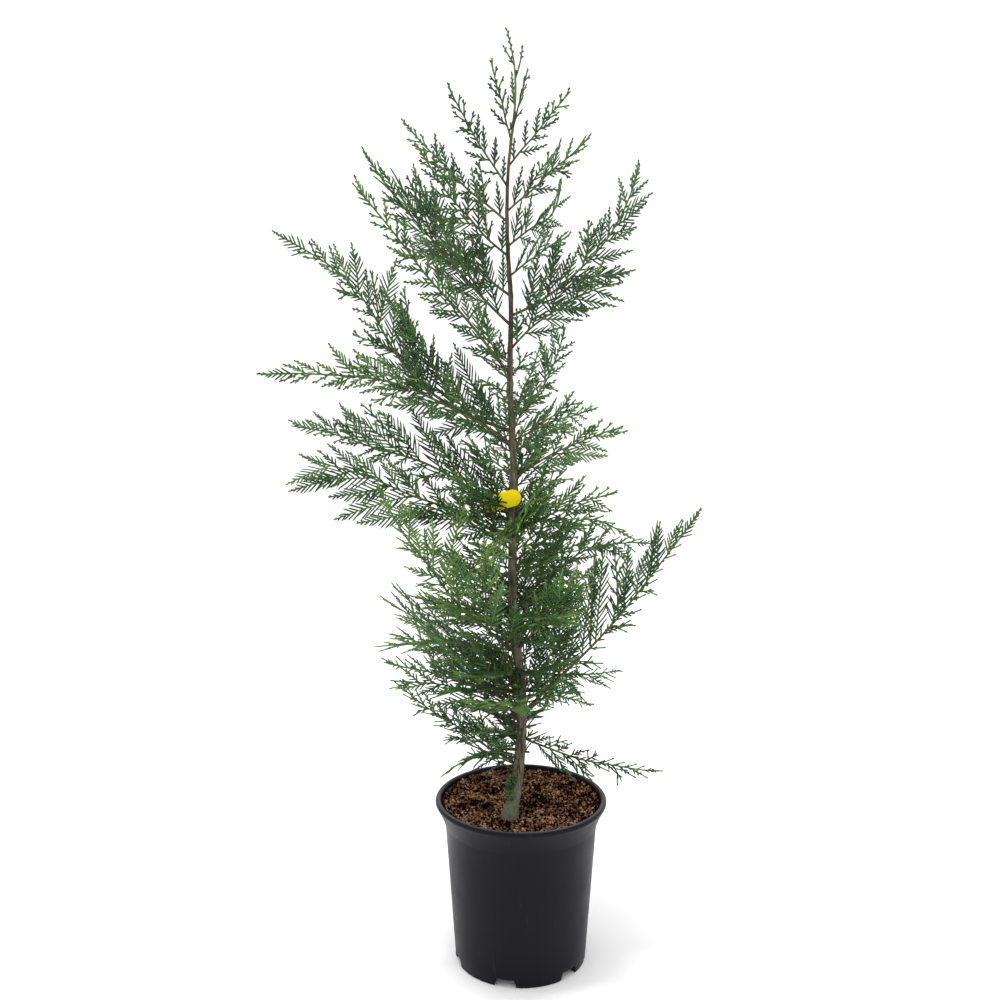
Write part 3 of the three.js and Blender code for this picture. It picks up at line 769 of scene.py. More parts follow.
class Finish:
    """One material: its node tree, the object's own coordinates, and its shader."""

    def __init__(self, name, **constants):
        self.material = bpy.data.materials.new(name)
        self.material.use_nodes = True
        self.tree = self.material.node_tree
        self.shader = self.tree.nodes["Principled BSDF"]
        self.place = self.node("ShaderNodeTexCoord", output="Object")
        for socket, value in constants.items():
            self.shader.inputs[socket.replace("_", " ")].default_value = value

    def node(self, kind, settings=None, sockets=None, output=0):
        return add_node(self.tree, kind, settings, sockets, output)

    def stretched(self, x, y, z):
        return self.node("ShaderNodeMapping", {}, {"Vector": self.place, "Scale": (x, y, z)})

    def grain(self, scale, detail, rough, place=None):
        values = {"Vector": place or self.place, "Scale": scale, "Detail": detail, "Roughness": rough}
        return self.node("ShaderNodeTexNoise", {}, values)

    def mix(self, share, first, second):
        values = {MIX_SHARE: share, MIX_FIRST: first, MIX_SECOND: second}
        return self.node("ShaderNodeMix", {"data_type": "RGBA"}, values, MIX_RESULT)

    def height(self):
        return self.node("ShaderNodeSeparateXYZ", {}, {"Vector": self.place}, "Z")

    def band(self, value, low, high):
        """0 below low, 1 above high, and a smooth change between them."""
        ends = {"Value": value, "From Min": low, "From Max": high}
        return self.node("ShaderNodeMapRange", {"interpolation_type": "SMOOTHSTEP"}, ends)

    def bump(self, height, strength, distance):
        values = {"Height": height, "Strength": strength, "Distance": distance}
        self.link("Normal", self.node("ShaderNodeBump", {}, values))

    def link(self, socket, value):
        self.tree.links.new(value.socket, self.shader.inputs[socket])


# Finishes. Grains and scuffs are counted to the metre, and bumps are in metres

def pot_plastic():
    """Black moulded plastic with a soft sheen, a fine grain, faint pale scuffs and a painted highlight
    along the lip's top.
    """
    finish = Finish("pot_plastic", IOR=1.47, Specular_IOR_Level=0.14)
    mottle = finish.grain(28, 5, 0.6)
    scuffs = finish.grain(120, 3, 0.7, finish.stretched(1, 1, 0.16))
    worn = finish.band(scuffs, 0.6, 0.78)
    # Painted highlight: a pale band over the lip's top stands in for the light it catches
    highlight_and_wear = finish.band(finish.height(), LIP_HIGHLIGHT_START * MM, POT_HEIGHT * MM)
    body = finish.mix(mottle, tint(8, 8, 15), tint(13, 13, 21))
    scuffed = finish.mix(worn * 0.2, body, tint(56, 56, 62))
    finish.link("Base Color", finish.mix(highlight_and_wear * 0.6, scuffed, tint(84, 84, 92)))
    finish.link("Roughness", finish.band(mottle, 0.2, 0.8) * 0.12 + 0.36 + worn * 0.1)
    finish.bump(finish.grain(900, 2, 0.5) + mottle * 0.6, 0.12, 0.0004)
    return finish.material


def peat(kind):
    """Moist peat: specks and clods between a dark and a light tone."""
    finish = Finish(f"peat_{kind}", IOR=1.4, Specular_IOR_Level=0.04)
    dark, light = (tint(*tone) for tone in PEAT_TONES[kind])
    clods = finish.grain(160, 6, 0.65)
    specks = finish.grain(700, 3, 0.6)
    share = finish.band(clods, 0.32, 0.68) * 0.7 + specks * 0.3
    finish.link("Base Color", finish.mix(share, dark, light))
    finish.link("Roughness", specks * 0.15 + 0.82)
    finish.bump(specks + clods, 0.6, 0.0012)
    return finish.material


def trunk_bark():
    """Grey-brown bark, mossy at the foot, darker up the leader and green at its tip."""
    finish = Finish("trunk_bark", IOR=1.42, Specular_IOR_Level=0.25)
    streaks = finish.grain(420, 5, 0.65, finish.stretched(1, 1, 0.16))
    patches = finish.grain(60, 4, 0.6)
    height = finish.height()
    old = finish.mix(finish.band(streaks, 0.32, 0.68), tint(60, 56, 45), tint(118, 112, 93))
    dark = finish.mix(finish.band(streaks, 0.35, 0.65), tint(52, 47, 37), tint(92, 85, 66))
    green = finish.mix(patches, tint(74, 88, 44), tint(108, 126, 60))
    moss = finish.mix(streaks, tint(56, 64, 48), tint(112, 118, 96))
    wood = finish.mix(finish.band(height + patches * 0.1, *BARK_TURNS_DARK), old, dark)
    bare = finish.mix(finish.band(height + patches * 0.04, *BARK_TURNS_GREEN), wood, green)
    mossy = 1 - finish.band(height + patches * 0.03, *MOSSY_BARK_END)
    finish.link("Base Color", finish.mix(mossy * 0.85, bare, moss))
    finish.link("Roughness", streaks * 0.2 + 0.68)
    finish.bump(streaks + patches * 0.4, 0.55, 0.0008)
    return finish.material


def bough_skin(kind):
    """A bough's skin: fine streaks between two tones."""
    finish = Finish(f"bough_skin_{kind}", IOR=1.42, Specular_IOR_Level=0.25)
    dark, light = (tint(*tone) for tone in BOUGH_TONES[kind])
    streaks = finish.grain(300, 4, 0.6)
    finish.link("Base Color", finish.mix(finish.band(streaks, 0.35, 0.65), dark, light))
    finish.link("Roughness", streaks * 0.2 + 0.65)
    finish.bump(streaks, 0.4, 0.0005)
    return finish.material


def scale_leaf(kind, colour):
    """The small scales that clothe a shoot: a matt green with a faint change of tone."""
    finish = Finish(f"scale_leaf_{kind}", IOR=1.42, Specular_IOR_Level=0.3)
    tone = finish.grain(70, 3, 0.6)
    scales = finish.grain(900, 2, 0.5)
    channels = tint(*colour)[:3]
    darker = tuple(channel * LEAF_DARKER for channel in channels) + (1.0,)
    lighter = tuple(min(channel * LEAF_LIGHTER, 1) for channel in channels) + (1.0,)
    finish.link("Base Color", finish.mix(finish.band(tone, 0.3, 0.7), darker, lighter))
    finish.link("Roughness", scales * 0.2 + 0.48)
    return finish.material


def yellow_label():
    """A bare yellow plastic tag with a soft sheen and a few rubbed patches."""
    finish = Finish("yellow_label", IOR=1.46, Specular_IOR_Level=0.15)
    highlight_and_wear = finish.grain(140, 4, 0.6)
    worn = finish.band(highlight_and_wear, 0.4, 0.75)
    finish.link("Base Color", finish.mix(worn, tint(255, 230, 0), tint(250, 220, 0)))
    finish.link("Roughness", highlight_and_wear * 0.2 + 0.5)
    finish.bump(highlight_and_wear, 0.1, 0.0003)
    return finish.material


def pale_floor():
    finish = Finish("pale_floor", Roughness=0.85)
    dust = finish.grain(3, 3, 0.5)
    finish.link("Base Color", finish.mix(dust, tint(251, 251, 251), tint(254, 254, 254)))
    return finish.material


# Steps that shaped pieces share

def deselect_all():
    if bpy.context.mode != "OBJECT":
        bpy.ops.object.mode_set(mode="OBJECT")
    bpy.ops.object.select_all(action="DESELECT")


def settle(piece, nodes):
    """A finished piece rides on the plant's body and stands for the nodes it replaces."""
    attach(piece, "root")
    if nodes:
        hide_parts(*nodes)


def finish_piece(piece, name, material, nodes):
    piece.name = name
    piece.data.name = name
    piece.data.materials.clear()
    piece.data.materials.append(material)
    settle(piece, nodes)


def turned_shell(profile, segments):
    """A closed round shell: a circle drawn on from ring to ring of a profile, its ends filled."""
    deselect_all()
    radius, height = profile[0]
    bpy.ops.mesh.primitive_circle_add(
        vertices=segments, radius=radius * MM, fill_type="NGON", location=(0, 0, height * MM)
    )
    piece = bpy.context.object
    bpy.ops.object.transform_apply(location=True, rotation=False, scale=False)
    bpy.ops.object.mode_set(mode="EDIT")
    bpy.ops.mesh.select_all(action="SELECT")
    for (before, low), (after, high) in zip(profile, profile[1:]):
        bpy.ops.mesh.extrude_region_move(TRANSFORM_OT_translate={"value": (0, 0, (high - low) * MM)})
        bpy.ops.transform.resize(value=(after / before, after / before, 1), center_override=(0, 0, 0))
    bpy.ops.mesh.select_all(action="SELECT")
    bpy.ops.mesh.normals_make_consistent(inside=False)
    bpy.ops.object.mode_set(mode="OBJECT")
    return piece


def apply_modifier(piece, kind, **settings):
    bpy.context.view_layer.objects.active = piece
    modifier = piece.modifiers.new(kind.lower(), kind)
    for name, value in settings.items():
        setattr(modifier, name, value)
    bpy.ops.object.modifier_apply(modifier=modifier.name)


def bevel_edges(piece, width, **limits):
    apply_modifier(piece, "BEVEL", width=width * MM, segments=2, limit_method="ANGLE", **limits)


def smooth_by_angle(piece, degrees):
    deselect_all()
    piece.select_set(True)
    bpy.context.view_layer.objects.active = piece
    bpy.ops.object.shade_smooth_by_angle(angle=math.radians(degrees))


# Pot

def lip_arc():
    """The rolled lip, from its outer underside, over its top, to its inner edge."""
    turns = np.radians(np.linspace(LIP_START, 180, LIP_STEPS + 1))
    radii = RIM_RADIUS + (np.cos(turns) - 1) * LIP_WIDTH / 2
    heights = POT_HEIGHT + (np.sin(turns) - 1) * LIP_DEPTH / 2
    return list(zip(radii.tolist(), heights.tolist()))


def collar_curve(lip_foot):
    """The flare under the lip: it leaves the shoulder steeply and swings out to the lip."""
    foot = np.array((SHOULDER_RADIUS, POT_HEIGHT - SHOULDER_DROP), float)
    bend = np.array((COLLAR_BEND_RADIUS, POT_HEIGHT - COLLAR_BEND_DROP), float)
    end = np.array(lip_foot, float)
    shares = np.linspace(0, 1, COLLAR_STEPS + 1)[1:-1]
    return [tuple((1 - t) ** 2 * foot + 2 * t * (1 - t) * bend + t**2 * end) for t in shares]


def pot_profile():
    """From the middle of the underside, out, up the wall, over the lip and down the inside."""
    lip = lip_arc()
    shoulder_height = POT_HEIGHT - SHOULDER_DROP
    wall_rings = [
        (lerp(BASE_RADIUS, SHOULDER_RADIUS, share), lerp(SKIRT_EDGE, shoulder_height, share))
        for share in WALL_RINGS
    ]
    return [
        (PAD_RADIUS, 0),
        (PAD_RADIUS + PAD_SLOPE, CHANNEL_HEIGHT),
        (BASE_RADIUS - SKIRT_WIDTH, CHANNEL_HEIGHT),
        (BASE_RADIUS - SKIRT_WIDTH + SKIRT_EDGE, 0),
        (BASE_RADIUS - SKIRT_EDGE, 0),
        (BASE_RADIUS - SKIRT_EDGE * SKIRT_EDGE_BEND, SKIRT_EDGE * SKIRT_EDGE_BEND),
        (BASE_RADIUS, SKIRT_EDGE),
        *wall_rings,
        (SHOULDER_RADIUS, shoulder_height),
        *collar_curve(lip[0]),
        *lip,
        (COLLAR_RADIUS - WALL, POT_HEIGHT - COLLAR_DROP),
        (SHOULDER_RADIUS - WALL, shoulder_height),
        (BASE_RADIUS - WALL, CHANNEL_HEIGHT + WALL),
        (PAD_RADIUS, CHANNEL_HEIGHT + WALL),
    ]


def notch_cutter(turn):
    """A tapering block, wide at the foot, set across the pot's skirt."""
    deselect_all()
    height = NOTCH_HEIGHT + NOTCH_OVERCUT
    depth = SKIRT_WIDTH + 2 * NOTCH_OVERCUT
    middle = BASE_RADIUS - SKIRT_WIDTH / 2
    bpy.ops.mesh.primitive_cube_add(size=1, location=(0, 0, 0))
    cutter = bpy.context.object
    slope = (NOTCH_FOOT_WIDTH - NOTCH_TOP_WIDTH) / NOTCH_HEIGHT
    foot_width = NOTCH_FOOT_WIDTH + slope * NOTCH_OVERCUT
    bpy.ops.object.mode_set(mode="EDIT")
    bpy.ops.mesh.select_all(action="SELECT")
    bpy.ops.transform.resize(value=(depth * MM, foot_width * MM, height * MM), center_override=(0, 0, 0))
    bpy.ops.transform.translate(value=(0, 0, (height / 2 - NOTCH_OVERCUT) * MM))
    bpy.ops.object.mode_set(mode="OBJECT")
    for vertex in cutter.data.vertices:
        if vertex.co.z > 0:
            vertex.co.y *= NOTCH_TOP_WIDTH / foot_width
    angle = math.radians(turn)
    cutter.location = (middle * MM * math.cos(angle), middle * MM * math.sin(angle), 0)
    cutter.rotation_euler = (0, 0, angle)
    return cutter


def make_pot():
    pot = turned_shell(pot_profile(), POT_SEGMENTS)
    for i in range(NOTCH_COUNT):
        cutter = notch_cutter(NOTCH_FIRST_ANGLE + i * 360 / NOTCH_COUNT)
        apply_modifier(pot, "BOOLEAN", operation="DIFFERENCE", object=cutter, solver="EXACT")
        bpy.data.objects.remove(cutter)
    bevel_edges(pot, POT_BEVEL, angle_limit=math.radians(POT_BEVEL_ANGLE))
    smooth_by_angle(pot, POT_SMOOTH_ANGLE)
    finish_piece(pot, "pot_shell", pot_plastic(), ["pot"])


# Peat

def from_trunk_foot(x, y):
    return math.hypot(x - TRUNK_LINE[0][0], y - TRUNK_LINE[0][1])


def soil_height(x, y):
    """The bumpy top of the peat, calm where the trunk stands, with clods on it."""
    from_wall = COLLAR_RADIUS - math.hypot(x, y)
    calm = smoothstep(from_trunk_foot(x, y), *CALM_BY_TRUNK) * smoothstep(from_wall, *CALM_BY_WALL)
    turn = 2 * math.pi / SOIL_BUMP_PITCH
    wave = math.sin(x * turn + SOIL_BUMP_PHASE) * math.cos(y * turn)
    clods = noise.fractal(Vector((x, y, CLOD_SLICE)) * CLOD_FREQUENCY, *CLOD_LAYERS)
    return SOIL_LEVEL + SOIL_BUMP * wave * calm + CLOD_HEIGHT * clods


def make_soil():
    shares = np.linspace(1, SOIL_INNERMOST_RING, SOIL_RINGS)
    top = [(SOIL_EDGE_RADIUS * share, SOIL_LEVEL) for share in shares]
    foot = (COLLAR_RADIUS - WALL - SOIL_FOOT_INSET, SOIL_LEVEL - SOIL_DEPTH)
    soil = turned_shell([foot, *top], SOIL_SEGMENTS)
    for vertex in soil.data.vertices:
        if vertex.co.z > (SOIL_LEVEL - SOIL_DEPTH / 2) * MM:
            vertex.co.z = soil_height(vertex.co.x / MM, vertex.co.y / MM) * MM
    smooth_by_angle(soil, SOIL_SMOOTH_ANGLE)
    finish_piece(soil, "peat_bed", peat("bed"), ["soil"])


def crumb_shapes(random):
    """A few broken lumps to copy: a twenty-sided ball with every corner pushed about."""
    golden = (1 + 5**0.5) / 2
    corners = []
    for a in (-1, 1):
        for b in (-golden, golden):
            corners += [(0, a, b), (a, b, 0), (b, 0, a)]
    corners = unit(corners)
    faces = []
    for i, j, k in itertools.combinations(range(len(corners)), 3):
        first, second, third = corners[[i, j, k]]
        sides = (second - first, third - second, first - third)
        if max(np.linalg.norm(side) for side in sides) < BALL_SIDE_MOST:
            outward = np.dot(np.cross(second - first, third - first), first + second + third) > 0
            faces.append((i, j, k) if outward else (i, k, j))
    shapes = []
    for _ in range(CRUMB_SHAPES):
        pushed = random.uniform(*CRUMB_CORNER_SHARES, (len(corners), 1))
        stretched = random.uniform(*CRUMB_AXIS_SHARES, (1, 3))
        shapes.append((corners * pushed * stretched, np.array(faces)))
    return shapes


def spot_on_peat(random, reach):
    """A place within reach of the pot's axis, as likely in one patch as in another."""
    away = reach * math.sqrt(random.random())
    turn = random.uniform(0, 2 * math.pi)
    return away * math.cos(turn), away * math.sin(turn)


def scatter_crumbs(heaps, random):
    shapes = crumb_shapes(random)
    for _ in range(CRUMB_COUNT):
        size = lerp(CRUMB_LEAST, CRUMB_MOST, random.random() ** CRUMB_SIZE_POWER)
        x, y = spot_on_peat(random, SOIL_EDGE_RADIUS - CRUMB_EDGE_GAP - size)
        if from_trunk_foot(x, y) < CRUMB_TRUNK_GAP:
            continue
        patch = noise.noise(Vector((x, y, CRUMB_PATCH_SLICE)) * CRUMB_PATCH)
        lightness = random.random() + CRUMB_PATCH_PULL * patch
        kind = "dark" if lightness < DARK_CRUMBS else "red" if lightness < PALE_CRUMBS else "pale"
        vertices, faces = shapes[random.integers(len(shapes))]
        along = unit(random.normal(size=3))
        side, over = frame_at(along)
        lump = vertices @ np.stack([along, side, over]) * size
        heaps[kind].add(lump + np.array((x, y, soil_height(x, y) + size * CRUMB_RISE)), faces)


def scatter_fibres(heaps, random):
    for _ in range(FIBRE_COUNT):
        x, y = spot_on_peat(random, SOIL_EDGE_RADIUS - FIBRE_EDGE_GAP)
        heading = random.uniform(0, 2 * math.pi)
        run = random.uniform(*FIBRE_RUN)
        end_x = x + run * math.cos(heading)
        end_y = y + run * math.sin(heading)
        if max(math.hypot(x, y), math.hypot(end_x, end_y)) > SOIL_EDGE_RADIUS - FIBRE_END_GAP:
            continue
        bend = random.uniform(-FIBRE_BEND, FIBRE_BEND)
        spots = [(x, y), ((x + end_x) / 2 + bend, (y + end_y) / 2), (end_x, end_y)]
        places = np.array([(*spot, soil_height(*spot) + FIBRE_RISE) for spot in spots])
        kind = "pale" if random.random() < PALE_FIBRES else "dark"
        heaps[kind].add(*tube(places, FIBRE_RADII, FIBRE_SIDES))


def make_crumbs():
    """Loose crumbs and fibres that lie on the peat."""
    random = np.random.default_rng(CRUMB_SEED)
    heaps = {"dark": Heap(), "red": Heap(), "pale": Heap()}
    scatter_crumbs(heaps, random)
    scatter_fibres(heaps, random)
    for kind, heap in heaps.items():
        crumbs = heap.piece(f"peat_crumbs_{kind}", peat(kind), smooth=False)
        settle(crumbs, [])


# Trunk

def bark_ridge(turn, height):
    """How far a ridge stands out at a turn about the trunk, as a share of its radius."""
    spot = Vector((BARK_RIDGES * math.cos(turn), BARK_RIDGES * math.sin(turn), height * BARK_RIDGE_RUN))
    return BARK_RELIEF * noise.fractal(spot, *BARK_LAYERS)


def swelling(places, radii, turns, foot, compass):
    """How far the bark stands out round the foot of one bough, as a share of the radius."""
    rise = np.exp(-(((places[:, 2] - foot) / SWELLING_RUN) ** 2))
    facing = np.clip(np.cos(turns - math.radians(compass)), 0, 1) ** 2
    return SWELLING * (rise / np.maximum(radii, SWELLING_LEAST_RADIUS))[:, None] * facing[None, :]


def make_trunk():
    """The trunk with ridged bark, and a swelling where each bough leaves it."""
    shares = np.linspace(0, 1, TRUNK_STEPS)
    places = trunk_line.at(shares)
    radii = trunk_radius(shares)
    turns = np.arange(TRUNK_SIDES) * 2 * math.pi / TRUNK_SIDES
    relief = np.array([[bark_ridge(turn, height) for turn in turns] for height in places[:, 2]])
    for _, foot, compass, *_ in BOUGHS:
        relief += swelling(places, radii, turns, foot, compass)
    places[0, 2] -= TRUNK_SUNK
    heap = Heap()
    heap.add(*tube(places, radii, TRUNK_SIDES, relief))
    trunk = heap.piece("trunk_bark", trunk_bark())
    settle(trunk, ["trunk"])


# Label

def label_tag(hole):
    """A round plate drawn out to the tag's length, in front of the hole round the trunk."""
    half = LABEL_WIDTH / 2
    deselect_all()
    bpy.ops.mesh.primitive_circle_add(
        vertices=LABEL_SEGMENTS, radius=half * MM, fill_type="NGON", rotation=(math.pi / 2, 0, 0)
    )
    tag = bpy.context.object
    bpy.ops.object.transform_apply(location=False, rotation=True, scale=False)
    for vertex in tag.data.vertices:
        shift = LABEL_RIGHT - half if vertex.co.x > 0 else LABEL_RIGHT - LABEL_LENGTH + half
        vertex.co.x += shift * MM
        vertex.co.y = -hole * MM
    bpy.ops.object.mode_set(mode="EDIT")
    bpy.ops.mesh.select_all(action="SELECT")
    bpy.ops.mesh.extrude_region_move(TRANSFORM_OT_translate={"value": (0, -LABEL_SHEET * MM, 0)})
    bpy.ops.mesh.select_all(action="SELECT")
    bpy.ops.mesh.normals_make_consistent(inside=False)
    bpy.ops.object.mode_set(mode="OBJECT")
    bevel_edges(tag, LABEL_BEVEL)
    return tag


def label_band(hole):
    """The band that loops round the trunk."""
    deselect_all()
    bpy.ops.mesh.primitive_cylinder_add(
        vertices=LABEL_SEGMENTS, radius=hole * MM, depth=LABEL_BAND * MM, end_fill_type="NOTHING"
    )
    band = bpy.context.object
    apply_modifier(band, "SOLIDIFY", thickness=LABEL_SHEET * MM, offset=1)
    bevel_edges(band, LABEL_BAND_BEVEL)
    return band


def make_label():
    """A flat tag with round ends in front of the trunk, and the band that holds it."""
    share = trunk_line.share_at_height(LABEL_HEIGHT)
    hole = float(trunk_radius(share)) + LABEL_SLACK
    tag = label_tag(hole)
    band = label_band(hole)
    for piece in (tag, band):
        piece.select_set(True)
    bpy.context.view_layer.objects.active = tag
    bpy.ops.object.join()
    tag.rotation_euler = (0, math.radians(-LABEL_DIP), 0)
    tag.location = tuple(trunk_line.at(share) * MM)
    bpy.ops.object.transform_apply(location=True, rotation=True, scale=True)
    smooth_by_angle(tag, LABEL_SMOOTH_ANGLE)
    finish_piece(tag, "stem_label_tag", yellow_label(), ["stem_label"])


# Foliage

greens = {name: Heap() for name, _, _ in GREENS}
bronze = Heap()
stems = {kind: Heap() for kind in BOUGH_TONES}


def green_for(fresh):
    return greens[next(name for name, most, _ in GREENS if fresh < most)]


def spray_tints(fresh, draws):
    """The greens of one spray: its rib and buds, most of its shoots, and the other shoots."""
    own = fresh + drift(draws, FRESH_DRIFT)
    return [
        green_for(own + RIB_FRESHER),
        green_for(own - SHOOT_DULLER),
        green_for(own - SHOOT_DULLER + drift(draws, FRESH_DRIFT)),
    ]


def twig_profile(place):
    """How long a side twig is, by its place between the first twig (0) and the bough's tip (1)."""
    return (TWIG_PROFILE_START + place) * max(1 - place, 0) ** TWIG_PROFILE_POWER


def wood_share(height):
    """How much of a bough is brown: much of a low, old one, and hardly any of a high, young one."""
    return np.interp(height, BROWN_HEIGHTS, BROWN_SHARES)


def keeps_clear(places):
    """True if the outer part of a twig keeps off the trunk, the label's face and the pot."""
    outer = places[len(places) // 3:]
    shares = trunk_line.share_at_height(outer[:, 2])
    away = np.linalg.norm(outer[:, :2] - trunk_line.at(shares)[:, :2], axis=1)
    below_top = outer[:, 2] < TRUNK_LINE[-1][2]
    off_trunk = (away > trunk_radius(shares) + TRUNK_CLEARANCE) | ~below_top
    over_pot = (np.hypot(outer[:, 0], outer[:, 1]) > RIM_RADIUS) | (outer[:, 2] > POT_HEIGHT)
    across, up, rearward = LABEL_FACE
    by_label = (np.abs(outer[:, 0] - across) < LABEL_ROOM) & (np.abs(outer[:, 2] - up) < LABEL_ROOM)
    before_label = by_label & (outer[:, 1] < rearward)
    return np.all(off_trunk) and np.all(over_pot) and not before_label.any()


def add_buds(heap, roots, along, across, lengths, widths):
    heap.add_copies(BUD_SHAPE, roots, along, across, lengths, widths, np.zeros(len(roots)))


def grow_shoots(tints, rib, ahead, outward, normal, share, length, random, fullness=1):
    """Side shoots from points on a twig, leaning forward on either hand, but none too short to tell."""
    count = len(rib)
    longest = min(SHOOT_SHARE + SHOOT_SHARE_GROWTH * length, SHOOT_SHARE_MOST) * length
    usual = fullness * longest * (1 - share) ** SHOOT_TAPER
    lengths = np.minimum(usual * random.uniform(*SHOOT_LENGTH_SHARES, count), SHOOT_MOST)
    angles = lerp(SHOOT_ANGLE, SHOOT_ANGLE_AT_TIP, share) + around(random, count, SHOOT_ANGLE_DRIFT)
    lean = np.radians(angles)[:, None]
    tilt = np.radians(around(random, count, SHOOT_TILT_DRIFT))[:, None]
    across = outward * alternate_hands(count) * np.cos(tilt) + normal * np.sin(tilt)
    direction = ahead * np.cos(lean) + across * np.sin(lean)
    forward = ahead * np.sin(lean) - across * np.cos(lean)
    widths = SHOOT_WIDTH * random.uniform(*SHOOT_WIDTH_SHARES, count)
    bends = SHOOT_BEND + around(random, count, SHOOT_BEND_DRIFT)
    second = random.random(count) < SECOND_TINT_SHARE
    long_enough = lengths > SHOOT_LEAST
    for heap, chosen in zip(tints[1:], (long_enough & ~second, long_enough & second)):
        if chosen.any():
            heap.add_copies(
                SHOOT_SHAPE, rib[chosen], direction[chosen], forward[chosen], lengths[chosen],
                widths[chosen], bends[chosen],
            )


def grow_twig(tints, root, direction, curl_way, normal, length, draws, random, fullness=1):
    """One leafy twig: a curved rib, shoots on both hands, and buds crowded at its tip."""
    curl = TWIG_CURL + drift(draws, TWIG_CURL_DRIFT)
    twist = math.radians(drift(draws, TWIG_TWIST_DRIFT))
    outward = curl_way * math.cos(twist) + normal * math.sin(twist)
    facing = np.cross(direction, outward)

    def rib(run):
        run = np.asarray(run, float)[:, None]
        return root + direction * run + curl_way * curl * run**2 / length

    def ahead(run):
        run = np.asarray(run, float)[:, None]
        return unit(direction + curl_way * 2 * curl * run / length)

    places = rib(np.linspace(0, length, TWIG_STEPS + 1))
    if not keeps_clear(places):
        return
    radii = np.linspace(TWIG_RADIUS, TWIG_RADIUS * TWIG_TIP_SHARE, TWIG_STEPS + 1)
    tints[0].add(*tube(places, radii, TWIG_SIDES))
    crowd = min(BUD_RUN, length * BUD_RUN_SHARE) * np.interp(root[2], BUD_HEIGHTS, BUD_SHARES)
    crowd = max(crowd, BUD_RUN_LEAST)
    runs = np.arange(SHOOT_START, length - crowd, (SHOOT_PITCH + SHOOT_PITCH_SHARE * length) / 2)
    if len(runs):
        runs = runs + around(random, len(runs), SHOOT_START_DRIFT)
        shares = runs / length
        grow_shoots(tints, rib(runs), ahead(runs), outward, facing, shares, length, random, fullness)
    end_tint = bronze if root[2] > BRONZE_LEAST_HEIGHT else tints[0]
    buds = np.arange(length - crowd, length - BUD_RUN_LEAST, BUD_PITCH / 2)
    count = len(buds)
    lean = np.radians(random.uniform(*BUD_LEANS, count))[:, None]
    across = outward * alternate_hands(count)
    ways = ahead(buds) * np.cos(lean) + across * np.sin(lean)
    squares = ahead(buds) * np.sin(lean) - across * np.cos(lean)
    sizes = BUD_LENGTH * lerp(*BUD_LENGTH_SHARES, (buds - length + crowd) / crowd)
    sizes = sizes * random.uniform(*BUD_SIZE_SHARES, count)
    starts = rib(buds)
    last = buds > length - BRONZE_RUN
    for heap, chosen in ((tints[0], ~last), (end_tint, last)):
        if chosen.any():
            widths = np.full(int(chosen.sum()), BUD_WIDTH * SIDE_BUD_SHARE)
            add_buds(heap, starts[chosen], ways[chosen], squares[chosen], sizes[chosen], widths)
    tip = np.array([length - TIP_BUD_ROOT])
    tip_way = ahead(tip)
    lengths = np.array([TIP_BUD_LENGTH])
    add_buds(end_tint, rib(tip), tip_way, np.cross(facing, tip_way), lengths, np.array([BUD_WIDTH]))


def wavy(line, draws):
    """A bough's line with the slight bends of grown wood, fixed at its foot and its tip."""
    shares = np.linspace(0, 1, BOUGH_WAVE_STEPS)
    places = line.at(shares)
    most = BOUGH_WAVE * line.length
    for way in frame_at(line.along(0.5)):
        phase = next(draws) * 2 * math.pi
        turns = lerp(*BOUGH_WAVE_TURNS, next(draws))
        wave = np.sin(shares * turns * 2 * math.pi + phase) * np.sin(shares * math.pi)
        places = places + way * (most * wave)[:, None]
    return Line(places)


def grow_wood(line, brown_share, random):
    """A bough's stem: brown at its foot, then olive, then green."""
    root_radius = STEM_ROOT_RADIUS + STEM_RADIUS_SHARE * line.length
    olive_end = lerp(brown_share, 1, OLIVE_SHARE)
    ends = {"brown": (0, brown_share), "olive": (brown_share, olive_end), "green": (olive_end, STEM_END)}
    for kind, (start, end) in ends.items():
        steps = max(STEM_LEAST_STEPS, round((end - start) * line.length / STEM_STEP))
        shares = np.linspace(max(start - STEM_LAP, 0), end, steps)
        radii = lerp(root_radius, STEM_TIP_RADIUS, shares**STEM_TAPER)
        relief = random.uniform(-STEM_RELIEF, STEM_RELIEF, (steps, STEM_SIDES))
        stems[kind].add(*tube(line.at(shares), radii, STEM_SIDES, relief))


def grow_bough(line, seed, leaf_start, roll, fresh, breadths, brown_share):
    """A bough's wood, then its twigs on alternate sides, closer together than the solids have them."""
    draws = seeded(seed)
    random = np.random.default_rng(seed)
    line = wavy(line, draws)
    grow_wood(line, brown_share, random)
    over_breadth, under_breadth, tip_breadth = breadths
    leafy = line.length - leaf_start
    spread = TWIG_SPREAD_LEAST + TWIG_SPREAD * line.length
    run = leaf_start
    hand = 1
    while run < line.length * TIP_TWIG_START:
        place = (run - leaf_start) / leafy
        share = run / line.length
        along = line.along(share)
        outward = spread_way(along, roll + drift(draws, TWIG_ROLL_DRIFT))
        angle = math.radians(lerp(TWIG_ANGLE, TWIG_ANGLE_AT_TIP, place) + drift(draws, TWIG_ANGLE_DRIFT))
        direction = unit(along * math.cos(angle) + outward * hand * math.sin(angle))
        breadth = over_breadth if outward[2] * hand > 0 else under_breadth
        usual = spread * twig_profile(place) * breadth * lerp(1, tip_breadth, place)
        length = max(usual * (1 + drift(draws, FINE_TWIG_DRIFT)), FINE_TWIG_LEAST)
        tints = spray_tints(fresh + FRESH_BY_PLACE * (place - 0.5), draws)
        curl_way = square_part(along, direction)
        normal = np.cross(along, outward)
        grow_twig(tints, line.at(share), direction, curl_way, normal, length, draws, random)
        hand = -hand
        pitch = FINE_TWIG_PITCH + FINE_TWIG_PITCH_SHARE * usual
        run += pitch * (1 + drift(draws, FINE_TWIG_PITCH_DRIFT))
    clothe_stem(line, leaf_start, roll, fresh, draws, random)
    grow_tip(line, roll, fresh + FRESH_BY_PLACE / 2, draws, random)


